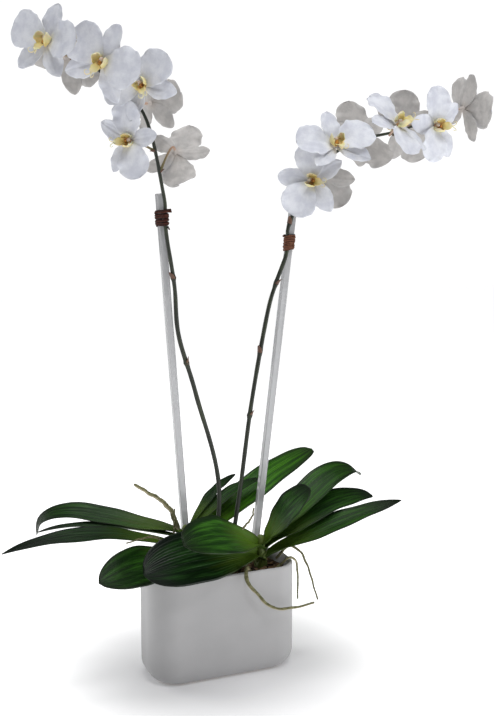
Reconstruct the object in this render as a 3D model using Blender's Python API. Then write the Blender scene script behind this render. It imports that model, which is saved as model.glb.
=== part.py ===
"""A potted moth orchid: two arching flower spikes tied to clear stakes, two leaf rosettes, a ceramic pot.

Metres, +Z up. The origin is the centre of the pot's flat base, the pot's long side lies along X
and its front looks along -Y.
"""

import math
from collections import namedtuple

import bmesh
import bpy
import numpy as np

# ---------------------------------------------------------------- driving dimensions (metres)
MM = 0.001
TOUCH_GAP = 0.0003          # clearance left between pieces that touch

POT_LENGTH = 0.194
POT_DEPTH = 0.088
POT_HEIGHT = 0.136
POT_WALL = 0.005
POT_FLOOR = 0.008
POT_CORNER = 0.033          # corner radius seen from above
FOOT_ROUND_END = 0.021      # how far the foot draws in at the two ends
FOOT_ROUND_FRONT = 0.014    # and along the front and back
FOOT_ROUND_HEIGHT = 0.021
RIM_ROUND = 0.0018
CORNER_STEPS = 4

MIX_TOP = 0.120             # height of the planting mix at the pot wall
MIX_MOUND = 0.006           # how much higher it stands in the middle
SOCKET_LENGTH = 0.14        # the holes for the stakes reach out of the mix
SOCKET_STEPS = 12           # and so do the holes for the stems

STAKE_SIDE = 0.0085
STAKE_FOOT = 0.030          # the stakes stand this far above the table, buried in the mix

STEM_RADIUS = 0.0028
STEM_TIP_RADIUS = 0.0015
STEM_SIDES = 6
STEM_TAPER_FROM = 0.45      # share of the stem's length from which it thins
PEDICEL_RADIUS = 0.0013
PEDICEL_SWELL = 1.15        # how much thicker a flower's stalk is at the flower
PEDICEL_BEND = 0.45         # how long it runs straight behind the flower, as a share of its length
PEDICEL_SIDES = 5
SPIKE_FOOT = 0.085          # height at which the spikes are planted, buried in the mix

TIE_THICKNESS = 0.0018
TIE_STAKE_ROOM = 0.76       # the loop inside, as a share of the stake's side
TIE_STEM_ROOM = 1.45        # and as a share of the stem's radius
TIE_TURNS = 6
TIE_PITCH = 1.6             # height of one turn, in thicknesses
TIE_GROOVE = 0.5            # depth of the groove between turns, in thicknesses
TIE_SIDES = 14

LEAF_THICKNESS = 0.0020
TEPAL_THICKNESS = 0.0012
TEPAL_ROWS = 5
TEPAL_CUP = 0.10            # how far a tepal's edges rise, as a fraction of its half-width
TEPAL_CLAW = 0.16           # width of a tepal at its base, as a fraction of its full width
RECEPTACLE_DEPTH = 0.006    # how far the flower's base reaches behind its centre
TEPAL_START = 0.8           # where the first tepal starts, from the flower's axis (millimetres)
TEPAL_STEP_OUT = 0.15       # how much farther out each next one starts, and how much higher
TEPAL_STEP_UP = 0.12
PETAL_LEVEL = 0.5           # the petals stand in front of the flower's plane, the sepals behind it
SEPAL_LEVEL = -1.0
LEAF_ROWS = 8
LEAF_CHANNEL = 0.22         # how far a leaf's edges rise, as a fraction of its half-width
LEAF_WIDEST = 0.55          # how far out a leaf is widest
LEAF_NECK = 0.28            # width of a leaf at its base, as a fraction of its full width
LEAF_CLEAR = 0.002          # a blade starts this far outside its crown
ROOT_SIDES = 5
CROWN_SIDES = 10
BASE_SIDES = 8
COLUMN_SIDES = 5


# ------------------------------------------------ how the plant stands (millimetres, degrees)
# Bearings run round the plant seen from above: 0 is the front, 90 the right, 180 the back, -90 the left.
Stake = namedtuple("Stake", "top bottom")
STAKES = {
    "left": Stake((-68, 10, 600), (-35, 25, 190)),
    "right": Stake((108, 10, 585), (64, 20, 180)),
}

# A spike: where it is planted, the points it sways through, the heights between which it runs beside its
# stake, how far it stands off the stake's axis there, the points its arch goes over, its tie's height.
Spike = namedtuple("Spike", "foot sway beside standoff arch tie_height")
SPIKES = {
    "left": Spike((-10, 15), [(5, 5, 230), (-25, 5, 355), (-47, 5, 430), (-52, 4, 490)],
                  (550, 600), (2, -10), [(-90, -5, 690), (-140, -5, 735), (-190, -15, 755)], 570),
    "right": Spike((10, 5), [(30, 0, 220), (47, 0, 340), (68, 0, 450), (80, 0, 490)],
                   (525, 565), (-6, -8), [(130, 0, 625), (185, 5, 665), (265, 15, 685), (340, 20, 710)],
                   540),
}

# A flower: where its stalk leaves the arch (0 at the tie, 1 at the tip), the stalk's bearing, rise and
# length, the bearing and rise of the way the bloom looks, the clockwise roll of its top sepal, its size
# and how far its tepals close forward.
Flower = namedtuple("Flower", "share stalk_bearing stalk_rise stalk bearing rise roll size closed")
FLOWERS = {
    "left": [
        Flower(0.22, 120, 42, 38, 150, -38, -90, 0.95, 0),
        Flower(0.32, -65, 14, 40, -45, 0, 80, 0.92, 5),
        Flower(0.58, 135, 0, 38, 120, 5, 0, 0.90, 10),
        Flower(0.66, 30, -2, 34, -38, 5, -28, 0.94, 5),
        Flower(0.76, -15, 12, 36, -38, 0, 32, 1.02, 0),
        Flower(0.91, -170, 10, 30, 145, 0, -40, 0.98, 0),
        Flower(1.00, -35, 5, 26, -48, 15, 15, 1.00, 5),
    ],
    "right": [
        Flower(0.15, 15, 45, 40, -30, 5, -75, 0.98, 5),
        Flower(0.28, 125, 0, 32, 125, 0, 135, 0.92, 10),
        Flower(0.34, -5, 25, 48, -10, 35, -10, 1.05, 10),
        Flower(0.62, 180, 8, 34, 175, -25, -60, 1.05, 0),
        Flower(0.72, -25, 5, 42, 25, 40, -86, 1.08, -5),
        Flower(0.84, 180, 0, 30, 165, 0, -75, 1.05, 5),
        Flower(0.88, 0, -15, 28, 5, 0, -85, 1.02, 5),
        Flower(1.00, 90, 15, 25, 90, 5, -25, 1.08, 5),
    ],
}

# A tepal: direction in the flower's plane, length, width, lift at its base and at its tip (positive is
# forward), how far out its widest place is, and how full its tip is.
Tepal = namedtuple("Tepal", "angle length width lift_base lift_tip widest fullness")
TEPALS = {
    "sepal_top": Tepal(90, 43, 25, 14, -8, 0.50, 1.5),
    "sepal_right": Tepal(318, 44, 24, 8, -12, 0.45, 1.3),
    "sepal_left": Tepal(222, 44, 24, 8, -12, 0.45, 1.3),
    "petal_right": Tepal(14, 48, 45, 20, -10, 0.56, 2.1),
    "petal_left": Tepal(166, 48, 45, 20, -10, 0.56, 2.1),
}
# How one tepal stands otherwise than the next: turn in the flower's plane, forward lift, twist about its
# midline, share of the usual width. No two are alike, so each is drawn within these reaches.
Bend = namedtuple("Bend", "turn lift twist width")
TURN_REACH = 7
LIFT_REACH = 6
TWIST_REACH = 12
NARROWEST = 0.86
BLOOM_SEEDS = {"left": 10, "right": 30}

# The flower's base, its column and the lobes of its lip: points in the flower's own axes (right, up,
# outward) with the radius or half-width there. A side lobe is given for the right side.
BASE = [(0, 0, -6), (0, 0, -2.5), (0, 0, 1.2)]
BASE_RADII = [1.6, 3.4, 3.8]
COLUMN = [(0, 0.6, 2.6), (0, 1.4, 10)]
COLUMN_RADII = [2.2, 2.6]
MIDDLE_LOBE = [(0, -0.6, 3.6), (0, -6, 12), (0, -14, 15)]
MIDDLE_LOBE_WIDTHS = [2.0, 5.5, 1.6]
SIDE_LOBE = [(1.2, -1, 6), (5.5, 0, 10), (6.5, 8, 13)]
SIDE_LOBE_WIDTHS = [1.8, 4.0, 1.8]
LOBE_CUP = 0.2

# A leaf: the height at which it leaves its crown, its bearing, length, the rise at its base and at its
# tip, how late it bends (1 evenly, more is later), its full width, its roll and its bluntness. Leaves that
# go the same way are stacked: each is higher and rises more steeply than the one in front of it.
Leaf = namedtuple("Leaf", "height bearing length rise_base rise_tip late width roll blunt")
LEAVES = {
    "leaf_left_long": Leaf(161, -86, 226, 25, -11, 1, 33, -14, 1.3),
    "leaf_left_arch": Leaf(181, -114, 196, 12, -72, 6, 34, -22, 1.9),
    "leaf_left_narrow": Leaf(176, -105, 174, 13, -12, 2, 18, 0, 1.9),
    "leaf_left_low": Leaf(145, -63, 135, 15, -6, 1, 51, -52, 1.8),
    "leaf_left_rear": Leaf(162, 115, 255, 26, 12, 1, 46, 15, 2.2),
    "leaf_left_upright": Leaf(180, 112, 135, 38, 2, 1, 26, 0, 1.8),
    "leaf_left_inner": Leaf(185, 125, 115, 40, 8, 1, 16, 0, 1.8),
    "leaf_right_front": Leaf(144, -70, 178, 16, -6, 1, 70, -52, 2.1),
    "leaf_right_near": Leaf(156, -58, 152, 28, 2, 1, 58, -40, 2.2),
    "leaf_right_upright": Leaf(160, 60, 88, 64, 42, 1, 47, 35, 2.2),
    "leaf_right_rear": Leaf(158, 106, 190, 34, -32, 4, 46, 16, 1.8),
    "leaf_right_side": Leaf(150, 95, 172, 29, -8, 2, 44, 16, 2.1),
    "leaf_right_long": Leaf(139, 76, 188, 25, 16, 1, 41, 15, 1.4),
}

# A short upright stem that carries each rosette: its place, where it ends, its radius.
Crown = namedtuple("Crown", "place foot top radius")
CROWNS = {
    "left": Crown((-40, 5), 90, 186, 8),
    "right": Crown((60, 0), 90, 162, 9),
}

# An aerial root: the points where its route turns, radius at its start and at its tip.
Root = namedtuple("Root", "route start tip")
ROOTS = {
    "root_front": Root([(34, -28, 130), (24, -41, 141), (20, -52, 128), (36, -58, 106), (54, -59, 91),
                        (82, -54, 85), (114, -46, 84)], 2.6, 1.3),
    "root_corner": Root([(74, -24, 130), (90, -28, 142), (102, -22, 125), (104, -20, 82)], 1.7, 1.0),
    "root_end": Root([(82, -2, 134), (100, -2, 147), (120, -5, 130), (138, -10, 72)], 1.9, 1.0),
    "root_high": Root([(-52, 0, 190), (-68, -5, 222), (-112, -20, 256)], 3.4, 1.9),
    "root_spur": Root([(-60, -8, 182), (-60, -12, 218)], 1.4, 0.8),
    "root_low": Root([(-58, -10, 168), (-90, -18, 188), (-124, -22, 186)], 1.6, 0.9),
    "root_middle": Root([(24, -28, 188), (34, -32, 202), (36, -34, 214)], 1.5, 0.9),
}


# ---------------------------------------------------------------- small helpers
def clear_scene():
    """Remove every object that the file already holds."""
    for existing in list(bpy.data.objects):
        bpy.data.objects.remove(existing, do_unlink=True)


def material(name, colour, roughness, metallic=0.0, transmission=0.0):
    """One plain Principled material."""
    made = bpy.data.materials.new(name)
    made.use_nodes = True
    shader = made.node_tree.nodes["Principled BSDF"]
    shader.inputs["Base Color"].default_value = (*colour, 1.0)
    shader.inputs["Roughness"].default_value = roughness
    shader.inputs["Metallic"].default_value = metallic
    shader.inputs["Transmission Weight"].default_value = transmission
    return made


def mesh_of(name, points, faces):
    """A mesh with outward faces."""
    shape = bmesh.new()
    corners = [shape.verts.new(point) for point in points]
    for face in faces:
        shape.faces.new([corners[index] for index in face])
    bmesh.ops.recalc_face_normals(shape, faces=shape.faces)
    mesh = bpy.data.meshes.new(name)
    shape.to_mesh(mesh)
    shape.free()
    return mesh


def add_object(name, mesh, finish, smooth_angle=math.radians(40)):
    """Put a mesh in the scene under its sub-part's name."""
    made = bpy.data.objects.new(name, mesh)
    bpy.context.scene.collection.objects.link(made)
    mesh.materials.clear()
    mesh.materials.append(finish)
    mesh.shade_smooth()
    mesh.set_sharp_from_angle(angle=smooth_angle)
    return made


def fused(name, meshes, cuts=()):
    """The meshes joined into one closed body by exact Booleans, less the cuts."""
    base = bpy.data.objects.new(name, meshes[0])
    bpy.context.scene.collection.objects.link(base)
    helpers = []
    for operation, others in (("UNION", meshes[1:]), ("DIFFERENCE", cuts)):
        for other in others:
            helper = bpy.data.objects.new(f"{name}_helper", other)
            bpy.context.scene.collection.objects.link(helper)
            step = base.modifiers.new(operation.lower(), "BOOLEAN")
            step.operation = operation
            step.solver = "EXACT"
            step.object = helper
            helpers.append(helper)
    bpy.context.view_layer.update()
    graph = bpy.context.evaluated_depsgraph_get()
    joined = bpy.data.meshes.new_from_object(base.evaluated_get(graph))
    joined.name = name
    for spare in [base] + helpers:
        bpy.data.objects.remove(spare, do_unlink=True)
    return joined


def unit(vectors):
    """Vectors scaled to length one."""
    return vectors / np.linalg.norm(vectors, axis=-1, keepdims=True)


def curve_through(points, count):
    """A smooth curve through the points (Catmull-Rom), read at even steps."""
    points = np.asarray(points, float)
    padded = np.vstack([2 * points[0] - points[1], points, 2 * points[-1] - points[-2]])
    read = []
    for position in np.linspace(0, len(points) - 1, count):
        start = min(int(position), len(points) - 2)
        t = position - start
        a, b, c, d = padded[start:start + 4]
        read.append(0.5 * (2 * b + (c - a) * t + (2 * a - 5 * b + 4 * c - d) * t ** 2
                           + (3 * b - a - 3 * c + d) * t ** 3))
    return np.array(read)


def toward(bearing, rise):
    """The direction with a bearing round the plant and a rise above the level."""
    turn, lift = math.radians(bearing), math.radians(rise)
    return np.array([math.sin(turn) * math.cos(lift), -math.cos(turn) * math.cos(lift), math.sin(lift)])


def even_steps(line, count):
    """The same line read at points that lie equally far apart."""
    run = np.concatenate([[0], np.cumsum(np.linalg.norm(np.diff(line, axis=0), axis=1))])
    places = np.linspace(0, run[-1], count)
    return np.stack([np.interp(places, run, line[:, k]) for k in range(3)], axis=-1)


def tangents(line):
    """Unit directions along a line of points."""
    return unit(np.gradient(line, axis=0))


def tube(name, line, radii, sides):
    """A closed round tube along a line, with flat ends."""
    along = tangents(line)
    side = unit(np.cross(along[0], (0.31, 0.17, 0.93) if abs(along[0][2]) < 0.9 else (1, 0, 0)))
    points = []
    for centre, forward, radius in zip(line, along, radii):
        side = unit(side - forward * (side @ forward))
        across = np.cross(forward, side)
        for turn in np.arange(sides) * 2 * math.pi / sides:
            points.append(centre + radius * (side * math.cos(turn) + across * math.sin(turn)))
    return ring_mesh(name, points, len(line), sides)


def ring_mesh(name, points, rings, sides):
    """A closed body skinned over rings of points, capped at both ends."""
    faces = [tuple(range(sides)), tuple((rings - 1) * sides + k for k in range(sides))]
    for ring in range(rings - 1):
        for k in range(sides):
            following = (k + 1) % sides
            low, high = ring * sides, (ring + 1) * sides
            faces.append((low + k, low + following, high + following, high + k))
    return mesh_of(name, points, faces)


def blade(name, line, upward, half_widths, thickness, channel, columns):
    """A thin closed blade along a line: upward is its face, channel how far its edges rise."""
    along = tangents(line)
    side = unit(np.cross(along, upward))
    face = np.cross(side, along)
    across = np.linspace(-1, 1, columns)
    skins = []
    for sign in (1, -1):
        for k in range(len(line)):
            for v in across:
                rise = channel * half_widths[k] * v * v
                skin = sign * thickness / 2 * (1 - 0.65 * v * v)
                skins.append(line[k] + side[k] * half_widths[k] * v + face[k] * (rise + skin))
    rows = len(line)
    under = rows * columns

    def corner(row, column, lower):
        return row * columns + column + (under if lower else 0)

    faces = []
    for lower in (False, True):
        for row in range(rows - 1):
            for column in range(columns - 1):
                a, b = corner(row, column, lower), corner(row, column + 1, lower)
                c, d = corner(row + 1, column + 1, lower), corner(row + 1, column, lower)
                faces += [(a, b, c), (a, c, d)]
    for row in range(rows - 1):
        for column in (0, columns - 1):
            faces.append((corner(row, column, False), corner(row + 1, column, False),
                          corner(row + 1, column, True), corner(row, column, True)))
    for row in (0, rows - 1):
        for column in range(columns - 1):
            faces.append((corner(row, column, False), corner(row, column + 1, False),
                          corner(row, column + 1, True), corner(row, column, True)))
    return mesh_of(name, skins, faces)


def outline_width(s, widest, fullness, base):
    """Half-width of a petal or leaf as a fraction of its largest, s running from base to tip."""
    if s < widest:
        return base + (1 - base) * math.sin(0.5 * math.pi * s / widest) ** 1.1
    return max(0.06, (1 - ((s - widest) / (1 - widest)) ** fullness) ** (1 / fullness))


# ---------------------------------------------------------------- the pot and its mix
def rounded_outline(half_x, half_y, corner, height):
    """Points round a rectangle with round corners."""
    points = []
    for sign_x, sign_y, start in ((1, 1, 0), (-1, 1, 90), (-1, -1, 180), (1, -1, 270)):
        for step in range(CORNER_STEPS + 1):
            turn = math.radians(start + 90 * step / CORNER_STEPS)
            points.append((sign_x * (half_x - corner) + corner * math.cos(turn),
                           sign_y * (half_y - corner) + corner * math.sin(turn), height))
    return points


def foot_inset(height):
    """Fraction of the foot rounding still left at a height."""
    rise = min(1.0, height / FOOT_ROUND_HEIGHT)
    return 1 - math.sqrt(1 - (1 - rise) ** 2)


def wall_ring(inward, height):
    """One level of the pot's wall, moved inward from its outer face."""
    left = foot_inset(height)
    return rounded_outline(POT_LENGTH / 2 - inward - FOOT_ROUND_END * left,
                           POT_DEPTH / 2 - inward - FOOT_ROUND_FRONT * left,
                           POT_CORNER - inward - 0.6 * FOOT_ROUND_FRONT * left, height)


def inner_ring(gap, height):
    """One level of the cavity, which draws in toward its floor as the outside does."""
    left = foot_inset(height - POT_FLOOR)
    inward = POT_WALL + gap
    return rounded_outline(POT_LENGTH / 2 - inward - FOOT_ROUND_END * left,
                           POT_DEPTH / 2 - inward - FOOT_ROUND_FRONT * left,
                           POT_CORNER - inward - 0.6 * FOOT_ROUND_FRONT * left, height)


def build_pot(finish):
    """The pot: rounded foot, upright walls, rolled rim, open cavity."""
    foot_levels = [FOOT_ROUND_HEIGHT * f for f in (0, 0.12, 0.34, 0.65, 1.0)]
    rings = [wall_ring(0, height) for height in foot_levels]
    rings.append(wall_ring(0, POT_HEIGHT - RIM_ROUND))
    rings.append(wall_ring(RIM_ROUND * 0.3, POT_HEIGHT - RIM_ROUND * 0.3))
    rings.append(wall_ring(RIM_ROUND, POT_HEIGHT))
    rings.append(wall_ring(POT_WALL - RIM_ROUND, POT_HEIGHT))
    rings.append(wall_ring(POT_WALL, POT_HEIGHT - RIM_ROUND))
    for height in reversed(foot_levels):
        rings.append(inner_ring(0, POT_FLOOR + height))
    sides = len(rings[0])
    points = [point for ring in rings for point in ring]
    return add_object("pot", ring_mesh("pot", points, len(rings), sides), finish)


def mix_height(x, y):
    """Height of the planting mix's surface."""
    return MIX_TOP + MIX_MOUND * (1 - (x / (POT_LENGTH / 2)) ** 2) * (1 - (y / (POT_DEPTH / 2)) ** 2)


def build_mix(finish, sockets):
    """The planting mix, moulded to the cavity, with sockets for what is planted in it."""
    levels = [FOOT_ROUND_HEIGHT * f for f in (0, 0.34, 1.0)]
    rings = []
    for level in levels:
        ring = inner_ring(TOUCH_GAP, POT_FLOOR + level)
        rings.append([(x, y, z + TOUCH_GAP) for x, y, z in ring])
    rings.append(inner_ring(TOUCH_GAP, MIX_TOP))
    for share in (0.66, 0.33):
        rings.append([(x * share, y * share, mix_height(x * share, y * share)) for x, y, z in rings[3]])
    sides = len(rings[0])
    points = [point for ring in rings for point in ring]
    body = ring_mesh("potting_mix", points, len(rings), sides)
    return add_object("potting_mix", fused("potting_mix", [body], sockets), finish)


# ---------------------------------------------------------------- stakes, spikes and ties
def stake_axis(stake):
    """A stake's centre line in metres, run down to its foot."""
    top = np.array(stake.top) * MM
    low = np.array(stake.bottom) * MM
    lean = (top - low) / (top[2] - low[2])
    return top + lean * (STAKE_FOOT - top[2]), top, unit(lean)


def square_bar(name, low, high, side):
    """A square bar between two points, one face turned to the front."""
    forward = unit(high - low)
    right = unit(np.cross((0, 1, 0), forward))
    back = np.cross(forward, right)
    half = side / 2
    points = [end + right * half * sx + back * half * sy
              for end in (low, high) for sx, sy in ((1, 1), (-1, 1), (-1, -1), (1, -1))]
    return ring_mesh(name, points, 2, 4)


def spike_line(side, count=31):
    """A spike's centre line in metres: planted, swaying, beside its stake, then arching over."""
    spike = SPIKES[side]
    foot, top, _ = stake_axis(STAKES[side])
    beside = []
    for height in np.linspace(*spike.beside, 3) * MM:
        share = (height - foot[2]) / (top[2] - foot[2])
        beside.append((foot + (top - foot) * share) / MM + (*spike.standoff, 0))
    knots = [(*spike.foot, SPIKE_FOOT / MM), *spike.sway, *beside, *spike.arch]
    return even_steps(curve_through(np.array(knots) * MM, 12 * len(knots)), count)


def arch_point(side, share):
    """The point of a spike's arch at a share of the way from its tie to its tip."""
    line = spike_line(side, 401)
    arch = line[line[:, 2] >= SPIKES[side].tie_height * MM]
    return arch[int(round(share * (len(arch) - 1)))]


def flower_centre(side, flower):
    """A bloom's centre, at the end of its stalk."""
    stalk = toward(flower.stalk_bearing, flower.stalk_rise) * flower.stalk * MM
    return arch_point(side, flower.share) + stalk


def stem_radii(line):
    """The stem thins toward its tip."""
    thinned = (np.linspace(0, 1, len(line)) - STEM_TAPER_FROM) / (1 - STEM_TAPER_FROM)
    return STEM_RADIUS + (STEM_TIP_RADIUS - STEM_RADIUS) * np.clip(thinned, 0, 1)


def point_at_height(line, height):
    """Where a rising line passes a height."""
    return np.array([np.interp(height, line[:, 2], line[:, k]) for k in range(3)])


def flower_axes(flower):
    """Right, up and outward directions of a flower, its roll included."""
    outward = toward(flower.bearing, flower.rise)
    right = toward(flower.bearing + 90, 0)
    roll = math.radians(flower.roll)
    rolled_up = np.cross(outward, right) * math.cos(roll) + right * math.sin(roll)
    return np.array([np.cross(rolled_up, outward), rolled_up, outward])


def natural_bends(side, number):
    """How the tepals of one bloom stand, drawn from its own seed."""
    chance = np.random.default_rng(BLOOM_SEEDS[side] + number)
    closed = FLOWERS[side][number - 1].closed
    bends = {}
    for key in TEPALS:
        turn, lift, twist = chance.uniform(-1, 1, 3) * (TURN_REACH, LIFT_REACH, TWIST_REACH)
        bends[key] = Bend(turn, lift + closed, twist, chance.uniform(NARROWEST, 1))
    return bends


def pedicel_line(side, flower, count=5):
    """A stalk from the arch to the back of its flower."""
    outward = flower_axes(flower)[2]
    start = arch_point(side, flower.share)
    end = flower_centre(side, flower) - outward * (RECEPTACLE_DEPTH * flower.size + 2 * TOUCH_GAP)
    pull = end - outward * np.linalg.norm(end - start) * PEDICEL_BEND
    t = np.linspace(0, 1, count)[:, None]
    return (1 - t) ** 2 * start + 2 * t * (1 - t) * pull + t ** 2 * end


def build_spike(side, finish):
    """One spike: a tapering stem with its pedicels grown on."""
    line = spike_line(side)
    pieces = [tube("stem", line, stem_radii(line), STEM_SIDES)]
    for flower in FLOWERS[side]:
        stalk = pedicel_line(side, flower)
        radii = np.linspace(PEDICEL_RADIUS, PEDICEL_RADIUS * PEDICEL_SWELL, len(stalk))
        pieces.append(tube("pedicel", stalk, radii, PEDICEL_SIDES))
    name = f"spike_{side}"
    return add_object(name, fused(name, pieces), finish)


def tie_outline(stake_centre, stem_centre, stake_reach, stem_reach):
    """The tight loop round a stake and a stem, as points of a plane."""
    points = []
    for turn in np.arange(TIE_SIDES) * 2 * math.pi / TIE_SIDES:
        out = np.array([math.cos(turn), math.sin(turn), 0.0])
        reach = [(centre @ out + radius, centre, radius)
                 for centre, radius in ((stake_centre, stake_reach), (stem_centre, stem_reach))]
        _, centre, radius = max(reach, key=lambda item: item[0])
        points.append(centre + out * radius)
    return points


def build_tie(side, finish):
    """A wrapped tie that holds a spike to its stake, ridged by its turns."""
    stem = spike_line(side, 201)
    foot, top, _ = stake_axis(STAKES[side])
    middle = SPIKES[side].tie_height * MM
    pitch = TIE_THICKNESS * TIE_PITCH
    levels = np.arange(-TIE_TURNS, TIE_TURNS + 1) * pitch / 2
    stake_reach = STAKE_SIDE * TIE_STAKE_ROOM + TOUCH_GAP
    stem_reach = STEM_RADIUS * TIE_STEM_ROOM + TOUCH_GAP
    rings = []
    for level in list(levels) + [levels[-1], levels[0]]:
        groove = TIE_GROOVE * (1 - math.cos(2 * math.pi * level / pitch)) / 2
        ridge = TIE_THICKNESS * (1 - groove) if len(rings) < len(levels) else 0.0
        height = middle + level
        stake_centre = foot + (top - foot) * (height - foot[2]) / (top[2] - foot[2])
        stem_centre = point_at_height(stem, height)
        rings.append(tie_outline(stake_centre, stem_centre, stake_reach + ridge, stem_reach + ridge))
    sides = len(rings[0])
    points = [point for ring in rings for point in ring]
    count = len(rings)
    faces = []
    for ring in range(count):
        low, high = ring * sides, (ring + 1) % count * sides
        for k in range(sides):
            following = (k + 1) % sides
            faces.append((low + k, low + following, high + following, high + k))
    name = f"tie_{side}"
    return add_object(name, mesh_of(name, points, faces), finish)


# ---------------------------------------------------------------- flowers
def tepal_line(tepal, bend, place, count):
    """A tepal's midline in its flower's own axes (right, up, outward), millimetres.

    Each tepal of a flower starts a little farther out than the one before, its place in the ring.
    """
    angle = math.radians(tepal.angle + bend.turn)
    reach = TEPAL_START + TEPAL_STEP_OUT * place
    height = TEPAL_STEP_UP * place
    line = []
    step = tepal.length / (count - 1)
    for k in range(count):
        line.append((reach * math.cos(angle), reach * math.sin(angle), height))
        bent = (tepal.lift_tip - tepal.lift_base) * k / (count - 2)
        slope = math.radians(tepal.lift_base + bend.lift + bent)
        reach += step * math.cos(slope)
        height += step * math.sin(slope)
    return np.array(line)


def build_perianth(side, number, finish):
    """Three sepals and two petals joined to the flower's base."""
    flower = FLOWERS[side][number - 1]
    axes = flower_axes(flower)
    centre = flower_centre(side, flower)
    scale = flower.size * MM
    base_line = np.array(BASE) * scale @ axes + centre
    pieces = [tube("base", base_line, np.array(BASE_RADII) * scale, BASE_SIDES)]
    bends = natural_bends(side, number)
    for place, (key, tepal) in enumerate(TEPALS.items()):
        own = tepal_line(tepal, bends[key], place, TEPAL_ROWS)
        own[:, 2] += PETAL_LEVEL if key.startswith("petal") else SEPAL_LEVEL
        line = own * scale @ axes + centre
        stations = np.linspace(0, 1, TEPAL_ROWS)
        half = tepal.width / 2 * bends[key].width * scale
        widths = [outline_width(s, tepal.widest, tepal.fullness, TEPAL_CLAW) * half for s in stations]
        sideways = unit(np.cross(tangents(line), axes[2]))
        twist = np.radians(bends[key].twist * stations)[:, None]
        face = axes[2] * np.cos(twist) + sideways * np.sin(twist)
        pieces.append(blade(key, line, face, widths, TEPAL_THICKNESS, TEPAL_CUP, 3))
    name = f"flower_{side}_{number}"
    return add_object(name, fused(name, pieces), finish)


def build_lip(side, number, finish):
    """The lip and column: a hooded column, a forked middle lobe, two raised side lobes."""
    flower = FLOWERS[side][number - 1]
    axes = flower_axes(flower)
    right, up, _ = axes
    centre = flower_centre(side, flower)
    scale = flower.size * MM

    def placed(points):
        return np.array(points, float) * scale @ axes + centre

    pieces = [tube("column", placed(COLUMN), np.array(COLUMN_RADII) * scale, COLUMN_SIDES)]
    pieces.append(blade("middle_lobe", placed(MIDDLE_LOBE), np.tile(up, (3, 1)),
                        np.array(MIDDLE_LOBE_WIDTHS) * scale, TEPAL_THICKNESS, LOBE_CUP, 3))
    for sign in (-1, 1):
        lobe = placed(np.array(SIDE_LOBE) * (sign, 1, 1))
        inward = np.tile(up * 0.3 - right * sign, (3, 1))
        pieces.append(blade("side_lobe", lobe, inward, np.array(SIDE_LOBE_WIDTHS) * scale,
                            TEPAL_THICKNESS, LOBE_CUP, 3))
    name = f"lip_{side}_{number}"
    return add_object(name, fused(name, pieces), finish)


# ---------------------------------------------------------------- leaves, crowns and roots
def leaf_line(name, leaf, count):
    """A leaf's midrib in metres: it leaves its crown rising and bends over on its way to the tip."""
    crown = CROWNS["left" if name.startswith("leaf_left") else "right"]
    start = np.array([*crown.place, leaf.height]) * MM
    spot = start + toward(leaf.bearing, 0) * (crown.radius * MM + LEAF_CLEAR)
    step = leaf.length * MM / (count - 1)
    line = [spot]
    for share in np.linspace(0, 1, count - 1):
        rise = leaf.rise_base + (leaf.rise_tip - leaf.rise_base) * share ** leaf.late
        spot = spot + toward(leaf.bearing, rise) * step
        line.append(spot)
    return np.array(line)


def build_leaf(name, leaf, finish):
    """One strap leaf, channelled along its midrib."""
    line = leaf_line(name, leaf, LEAF_ROWS)
    along = tangents(line)
    level_side = unit(np.cross(along, (0, 0, 1)))
    upright = np.cross(level_side, along)
    roll = math.radians(leaf.roll)
    face = upright * math.cos(roll) + level_side * math.sin(roll)
    widths = [outline_width(s, LEAF_WIDEST, leaf.blunt, LEAF_NECK) * leaf.width / 2 * MM
              for s in np.linspace(0, 1, LEAF_ROWS)]
    return add_object(name, blade(name, line, face, widths, LEAF_THICKNESS, LEAF_CHANNEL, 3), finish)


def crown_line(crown):
    """A crown's centre line in metres."""
    return np.array([(*crown.place, crown.foot), (*crown.place, (crown.foot + crown.top) / 2),
                     (*crown.place, crown.top)], float) * MM


def crown_radii(crown, gap=0.0):
    """A crown is widest where the lowest leaves leave it."""
    return np.array([0.8, 1.0, 0.9]) * crown.radius * MM + gap


def build_root(name, root, finish):
    """One aerial root."""
    line = curve_through(np.array(root.route, float) * MM, 2 * len(root.route) - 1)
    radii = np.linspace(root.start, root.tip, len(line)) * MM
    return add_object(name, tube(name, line, radii, ROOT_SIDES), finish)


def build_sockets():
    """What the planted pieces displace in the mix, with clearance all round."""
    sockets = []
    for stake in STAKES.values():
        foot, _, lean = stake_axis(stake)
        sockets.append(square_bar("socket", foot - lean * TOUCH_GAP, foot + lean * SOCKET_LENGTH,
                                  STAKE_SIDE + 2 * TOUCH_GAP))
    for crown in CROWNS.values():
        line = crown_line(crown)
        line[0][2] -= TOUCH_GAP
        sockets.append(tube("socket", line, crown_radii(crown, 1.5 * TOUCH_GAP), CROWN_SIDES))
    for side in SPIKES:
        line = spike_line(side, 65)[:SOCKET_STEPS]
        line[0] -= unit(line[1] - line[0]) * 2 * TOUCH_GAP
        radii = np.full(len(line), STEM_RADIUS + 2.5 * TOUCH_GAP)
        sockets.append(tube("socket", line, radii, STEM_SIDES))
    return sockets


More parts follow.
